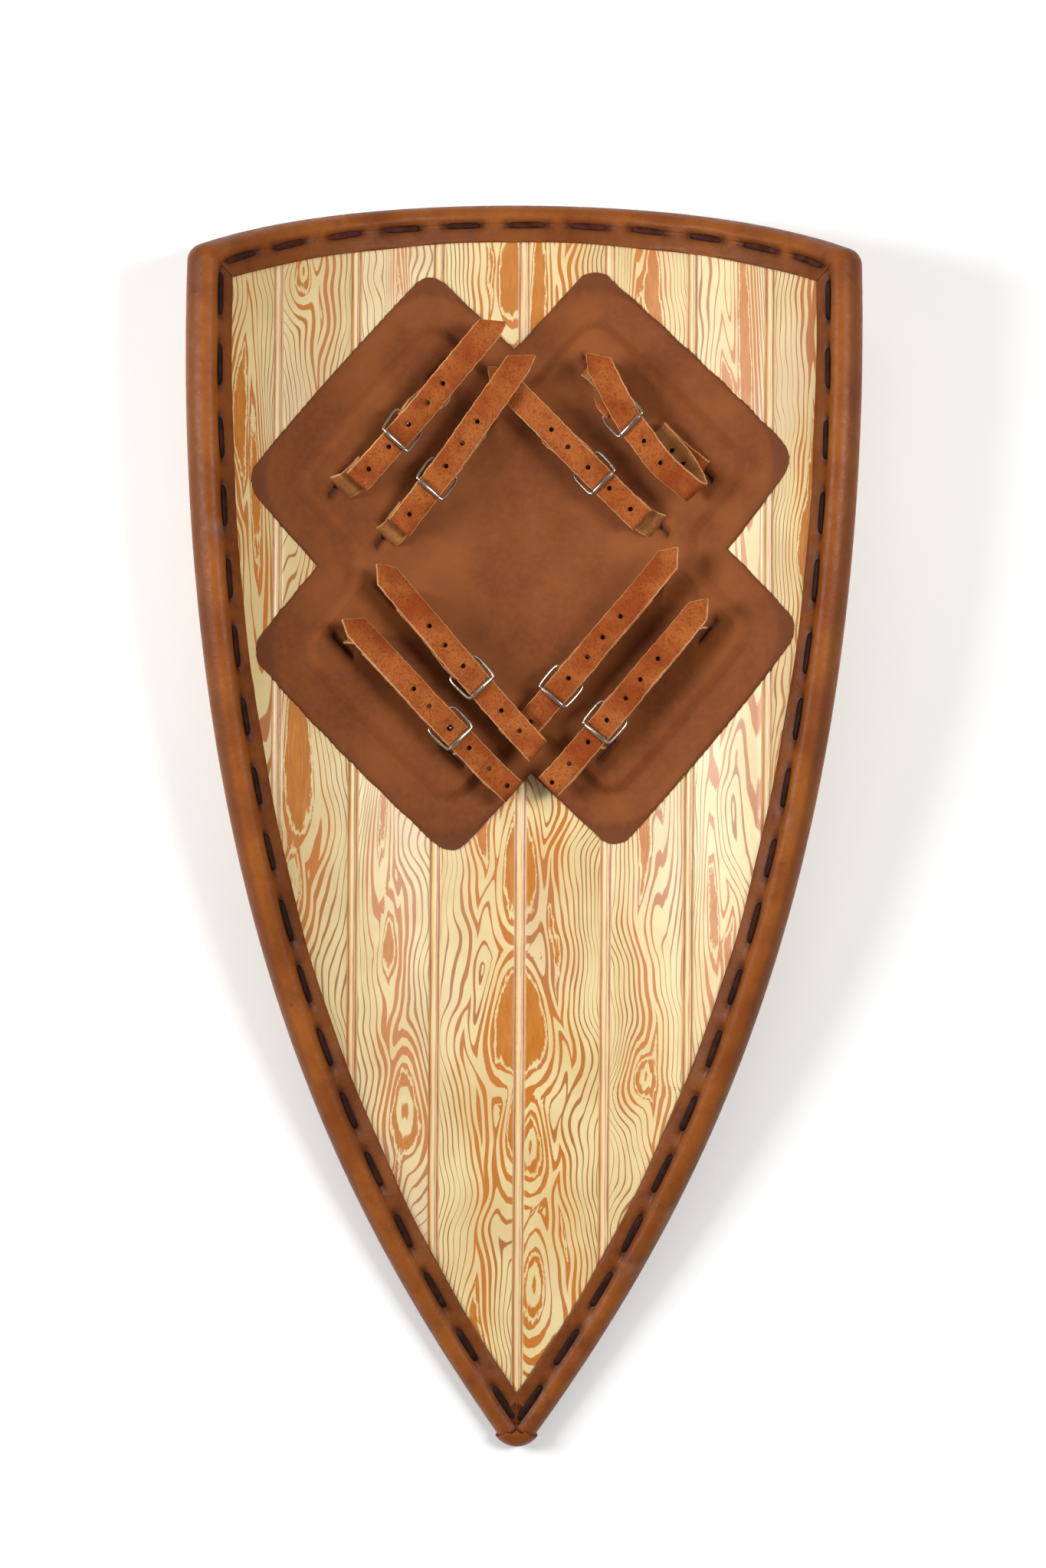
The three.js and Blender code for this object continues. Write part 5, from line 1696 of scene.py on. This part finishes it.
def punch(piece, places):
    """Sinks holes with walls painted dark as painted shade into a band with a boolean, and keeps the result.
    """
    cutter_mesh = bpy.data.meshes.new(piece.name + "_punch")
    shell = bmesh.new()
    for middle, above, radius in places:
        axis = (above - middle).normalized()
        turn = axis.to_track_quat("Z", "Y").to_matrix().to_4x4()
        raised = middle + axis * (HOLE_CUTTER_LONG / 2 - STRAP_THICK / 2 + HOLE_FLOOR) * MM
        bmesh.ops.create_cone(shell, cap_ends=True, segments=HOLE_SIDES,
                              radius1=radius * MM, radius2=radius * MM,
                              depth=HOLE_CUTTER_LONG * MM, matrix=Matrix.Translation(raised) @ turn)
    for face in shell.faces:
        face.material_index = STRAP_FINISHES.index(SHADED_HOLE_WALL)
    shell.to_mesh(cutter_mesh)
    shell.free()
    for finish in STRAP_FINISHES:
        cutter_mesh.materials.append(finish)
    cutter = bpy.data.objects.new(piece.name + "_punch", cutter_mesh)
    bpy.context.collection.objects.link(cutter)
    modifier = piece.modifiers.new("holes", "BOOLEAN")
    modifier.operation = "DIFFERENCE"
    modifier.solver = "EXACT"
    modifier.object = cutter
    graph = bpy.context.evaluated_depsgraph_get()
    cut = bpy.data.meshes.new_from_object(piece.evaluated_get(graph))
    piece.modifiers.clear()
    piece.data = cut
    bpy.data.objects.remove(cutter)


print("holes stop", HOLE_FLOOR, "mm before the inside")

# %% [markdown]
# ## The sixteen bands
# Each face of a band gets its finish from where it lies round the section: suede outside, tan
# inside, pale at the cut edges. A tucked billet shows its tan side until its first fold, because
# it comes out of the slot the other way round.

# %% Make the bands
# Halfway between the fifth and the sixth station, round the first fold
TAN_UNTIL = 4.5


def make_band(node, own, way, seed, tan_until=None):
    """A band that stands in for one CAD node. It is tan up to the given station, counted in its way."""
    stations = smooth_way(way, own)
    rings = sweep_band(own, stations, seed)
    flip = own.roll_way < 0
    faces = capped_tube(rings, 0)
    slots = []
    for row in range(len(rings) - 1):
        place = stations[row][2]
        turned = flip != (tan_until is not None and place < tan_until)
        slots += [1 - slot if turned and slot != 2 else slot for slot in SECTION_SLOTS]
    slots += [2, 2]
    return make_piece("band_" + node, rings.reshape(-1, 3), faces, STRAP_FINISHES,
                      (node,), face_slots=slots)


FRAMES = {}
for number, strap in enumerate(STRAPS):
    own = StrapFrame(strap)
    FRAMES[strap["name"]] = own
    way, top = billet_way(strap, own)
    tan_until = TAN_UNTIL if strap["slack"] == "tucked" else None
    billet = make_band(strap["name"] + "_billet", own, way, number, tan_until)
    punch(billet, hole_places(strap, own, way, top))
    make_band(strap["name"] + "_chape", own, chape_way(strap, own), number + 20)
print("bands made:", 2 * len(STRAPS))

# %% [markdown]
# ## Bent wire
# Buckles are bent from steel wire before they are plated. A bevelled curve would give a tube too,
# but rings of points placed by a function make a plain mesh straight away, and the ring's normal
# keeps it from twisting. Ten to twelve sides are enough for a clean highlight at this size.

# %% Wire helpers
def tube_along(points, radius, sides, closed, normal):
    """Rings of a round tube along points in metres. The normal keeps the rings from twisting."""
    rings = []
    count = len(points)
    for i, point in enumerate(points):
        before = points[(i - 1) % count] if closed else points[max(i - 1, 0)]
        after = points[(i + 1) % count] if closed else points[min(i + 1, count - 1)]
        tangent = (after - before).normalized()
        side = tangent.cross(normal).normalized()
        up = side.cross(tangent).normalized()
        ring = []
        for k in range(sides):
            angle = 2 * math.pi * k / sides
            ring.append(tuple(point + (side * math.cos(angle) + up * math.sin(angle)) * radius * MM))
        rings.append(ring)
    return np.array(rings)


def smooth_points(points, closed, steps=6):
    """A Catmull-Rom curve through the given points."""
    count = len(points)
    made = []
    spans = count if closed else count - 1
    for i in range(spans):
        p0 = points[(i - 1) % count] if closed else points[max(i - 1, 0)]
        p1, p2 = points[i], points[(i + 1) % count]
        p3 = points[(i + 2) % count] if closed else points[min(i + 2, count - 1)]
        for k in range(steps):
            x = k / steps
            made.append(0.5 * (2 * p1 + (p2 - p0) * x + (2 * p0 - 5 * p1 + 4 * p2 - p3) * x ** 2
                               + (3 * p1 - p0 - 3 * p2 + p3) * x ** 3))
    if not closed:
        made.append(points[-1])
    return made


print("wire helpers ready")

# %% [markdown]
# ## The buckle frames
# Each frame is a closed loop of wire, straight along the bar that the roller turns on and a little
# wider in the middle, with rounded corners. It stands on the strap's own straight directions.

# %% Buckle frame
FRAME_CORNER = 6


def roller_middle(strap, own):
    h = strap["high"] + STRAP_THICK / 2 + ROLLER_RADIUS + 2 * GAP
    return own.at(strap["bar"], own.bar_u, h)


def build_frame(strap, own):
    top = roller_middle(strap, own)
    bottom = own.at(own.heel, own.bar_u, own.heel_high)
    forward = bottom - top
    long = forward.length / MM
    forward.normalize()
    # Places along the buckle, with the share of its half width there
    half = [(0, BAR_SHARE * 0.5), (0, BAR_SHARE * 0.92), (0.3 * FRAME_CORNER, 1.0), (long / 2, 1.05),
            (long - 0.6 * FRAME_CORNER, 1.02), (long, 0.86), (long, 0.4)]
    loop = [(x, share * FRAME_HALF) for x, share in half]
    loop += [(x, -share * FRAME_HALF) for x, share in reversed(half)]
    points = [top + (forward * x + own.across * w) * MM for x, w in loop]
    normal = forward.cross(own.across).normalized()
    rings = tube_along(smooth_points(points, True), WIRE_RADIUS * 0.92, 12, True, normal)
    rows, around = rings.shape[:2]
    faces = grid_faces(rows, around, closed_rows=True, closed_columns=True)
    node = strap["name"] + "_buckle_frame"
    return make_piece("wire_" + node, rings.reshape(-1, 3), faces, [NICKEL], (node,))


print(f"a frame is {2 * FRAME_HALF:.1f} mm wide for straps of {STRAP_WIDE} mm")

# %% [markdown]
# ## The rollers
# The roller is a short tube of thin plate that spares the leather. Its ends are turned in, so they
# are drawn as two small steps. That small bright edge is what tells the eye it is a roller.

# %% Buckle roller
ROLLER_SIDES = 24
ROLLER_END = 0.4


def build_roller(strap, own):
    middle = roller_middle(strap, own)
    half = FRAME_HALF * BAR_SHARE - WIRE_RADIUS
    profile = [(-half, 1.5), (-half, 1.9), (-half + ROLLER_END, 2.05), (0, ROLLER_RADIUS),
               (half - ROLLER_END, 2.05), (half, 1.9), (half, 1.5)]
    rings = []
    for w, radius in profile:
        ring = []
        for k in range(ROLLER_SIDES):
            angle = 2 * math.pi * k / ROLLER_SIDES
            ring.append(tuple(middle + (own.across * w + own.along * radius * math.cos(angle)
                                        + own.up * radius * math.sin(angle)) * MM))
        rings.append(ring)
    rings = np.array(rings)
    faces = capped_tube(rings, 0)
    node = strap["name"] + "_buckle_roller"
    return make_piece("tube_" + node, rings.reshape(-1, 3), faces, [NICKEL], (node,))


print("a roller is", 2 * ROLLER_RADIUS, "mm thick")

# %% [markdown]
# ## The prongs
# A prong is one piece of wire, bent round the heel at one end. On most straps it lies hidden
# between the layers. On one it comes up through its hole, where its bright tip can be seen. With
# the prong's recipe in hand, each buckle is made whole, one strap after the other.

# %% Build the prongs and make the buckles
def build_prong(strap, own):
    bar, heel, high = strap["bar"], own.heel, strap["high"]
    ring = WIRE_RADIUS + GAP + PRONG_RADIUS
    way = [(heel + ring * math.cos(math.radians(a)), own.heel_high + ring * math.sin(math.radians(a)))
           for a in (-100, -40, 20, 80)]
    if strap.get("prong_up"):
        way += [(bar + PRONG_HOLE + 3.5, high - 1.2), (bar + PRONG_HOLE + 0.6, high - 0.4),
                (bar + PRONG_HOLE - 0.4, high + 4.6)]
    else:
        way += [(bar + 3, high - STRAP_THICK / 2 - 2 * GAP - PRONG_RADIUS)]
    points = [own.at(t, own.bar_u, h) for t, h in way]
    rings = tube_along(smooth_points(points, False), PRONG_RADIUS, 10, False, own.across)
    faces = capped_tube(rings, 0)
    node = strap["name"] + "_buckle_prong"
    return make_piece("wire_" + node, rings.reshape(-1, 3), faces, [NICKEL], (node,))


for strap in STRAPS:
    for build in (build_frame, build_roller, build_prong):
        build(strap, FRAMES[strap["name"]])
print("buckles made:", len(STRAPS))

# %% [markdown]
# ## The floor
# The shield lies on a sheet of matt, almost white paper, as in a product photograph. It is far
# larger than the view, so no edge shows. It only stages the shield and isn't part of it.

# %% Floor
FLOOR_HALF = 5.0


def build_floor():
    paper = Finish("floor_paper", roughness=0.9)
    place = paper.add("TexCoord", output="Object")
    mottle = blotches(paper, place, 400, detail=2)
    white = tint(paper, mottle, 0.3, 0.7, "#F6F6F5", "#F9F9F8")
    paper.link(white, paper.shader.inputs["Base Color"])
    corners = [(-1, -1), (1, -1), (1, 1), (-1, 1)]
    mesh = bpy.data.meshes.new("floor")
    mesh.from_pydata([(x * FLOOR_HALF, y * FLOOR_HALF, 0) for x, y in corners], [], [(0, 1, 2, 3)])
    mesh.materials.append(paper.material)
    floor = bpy.data.objects.new("floor", mesh)
    bpy.context.collection.objects.link(floor)
    return floor


floor = build_floor()
print("floor:", 2 * FLOOR_HALF, "m across")

# %% [markdown]
# ## The lights
# Two large soft lights stand left and right of the shield, the left one nearer and lower, so the
# straps cast soft shadows and the rim's roll catches a thin highlight. A weak one above the top
# edge fills the shadows. Bare bulbs would give hard shadows that the photograph doesn't have.

# %% Lights
def soft_light(name, place, target, size, power):
    data = bpy.data.lights.new(name, "AREA")
    data.shape = "RECTANGLE"
    data.size, data.size_y = size
    data.energy = power
    light = bpy.data.objects.new(name, data)
    light.location = place
    light.rotation_euler = (Vector(target) - Vector(place)).to_track_quat("-Z", "Y").to_euler()
    bpy.context.collection.objects.link(light)
    return light


soft_light("left_softbox", (-1.9, 0.3, 1.7), (0, 0.05, 0), (0.7, 1.1), 51)
soft_light("right_softbox", (1.4, 0.35, 2.4), (0, 0.05, 0), (0.5, 1.0), 47)
soft_light("top_fill", (-0.2, 1.5, 2.4), (0, 0, 0), (1.2, 0.6), 7)

# %% [markdown]
# ## The room
# Metal shows what is around it. An even white room would make nickel look like plastic, so the walls
# are bright and the ceiling is greyer. The plain view transform keeps the colours as they were
# chosen, because the photograph has no film-like roll-off either.

# %% Studio room
def studio_world():
    """White walls and a greyer ceiling, so that the metal shows dark and light."""
    world = bpy.data.worlds.new("studio")
    world.use_nodes = True
    nodes, links = world.node_tree.nodes, world.node_tree.links
    direction = nodes.new("ShaderNodeTexCoord")
    apart = nodes.new("ShaderNodeSeparateXYZ")
    links.new(direction.outputs["Generated"], apart.inputs[0])
    fade = nodes.new("ShaderNodeMapRange")
    links.new(apart.outputs["Z"], fade.inputs["Value"])
    fade.inputs["From Min"].default_value = 0.45
    fade.inputs["From Max"].default_value = 0.95
    fade.inputs["To Min"].default_value = 0.38
    fade.inputs["To Max"].default_value = 0.15
    links.new(fade.outputs["Result"], nodes["Background"].inputs["Strength"])
    nodes["Background"].inputs["Color"].default_value = (1, 1, 1, 1)
    return world


bpy.context.scene.world = studio_world()
bpy.context.scene.view_settings.view_transform = "Standard"
print("view transform:", bpy.context.scene.view_settings.view_transform)

# %% [markdown]
# ## The camera
# The camera looks straight down from 2.7 m with a mild telephoto lens, because the photograph shows
# hardly any perspective. Its lens follows from how many millimetres the picture has to show, and
# the shift and roll bring the shield to the same place as in the photograph.

# %% Camera
PHOTO_TALL = 2047
MM_PER_PIXEL = 0.69
CAMERA_HIGH = 2.7
VIEW_TALL = PHOTO_TALL * MM_PER_PIXEL * MM
SENSOR_TALL = 24
VIEW_MIDDLE_X = 1.7 * MM
VIEW_MIDDLE_V = 38.9 * MM
VIEW_ROLL = math.radians(0.4)
camera_data = bpy.data.cameras.new("camera")
camera_data.sensor_fit = "VERTICAL"
camera_data.sensor_height = SENSOR_TALL
camera_data.lens = SENSOR_TALL * CAMERA_HIGH / VIEW_TALL
camera = bpy.data.objects.new("camera", camera_data)
camera.location = (VIEW_MIDDLE_X, VIEW_MIDDLE_V + SHIFT_V * MM, CAMERA_HIGH + LIFT * MM)
camera.rotation_euler = (0, 0, VIEW_ROLL)
bpy.context.collection.objects.link(camera)
bpy.context.scene.camera = camera
print(f"lens {camera_data.lens:.1f} mm on a {SENSOR_TALL} mm tall sensor")
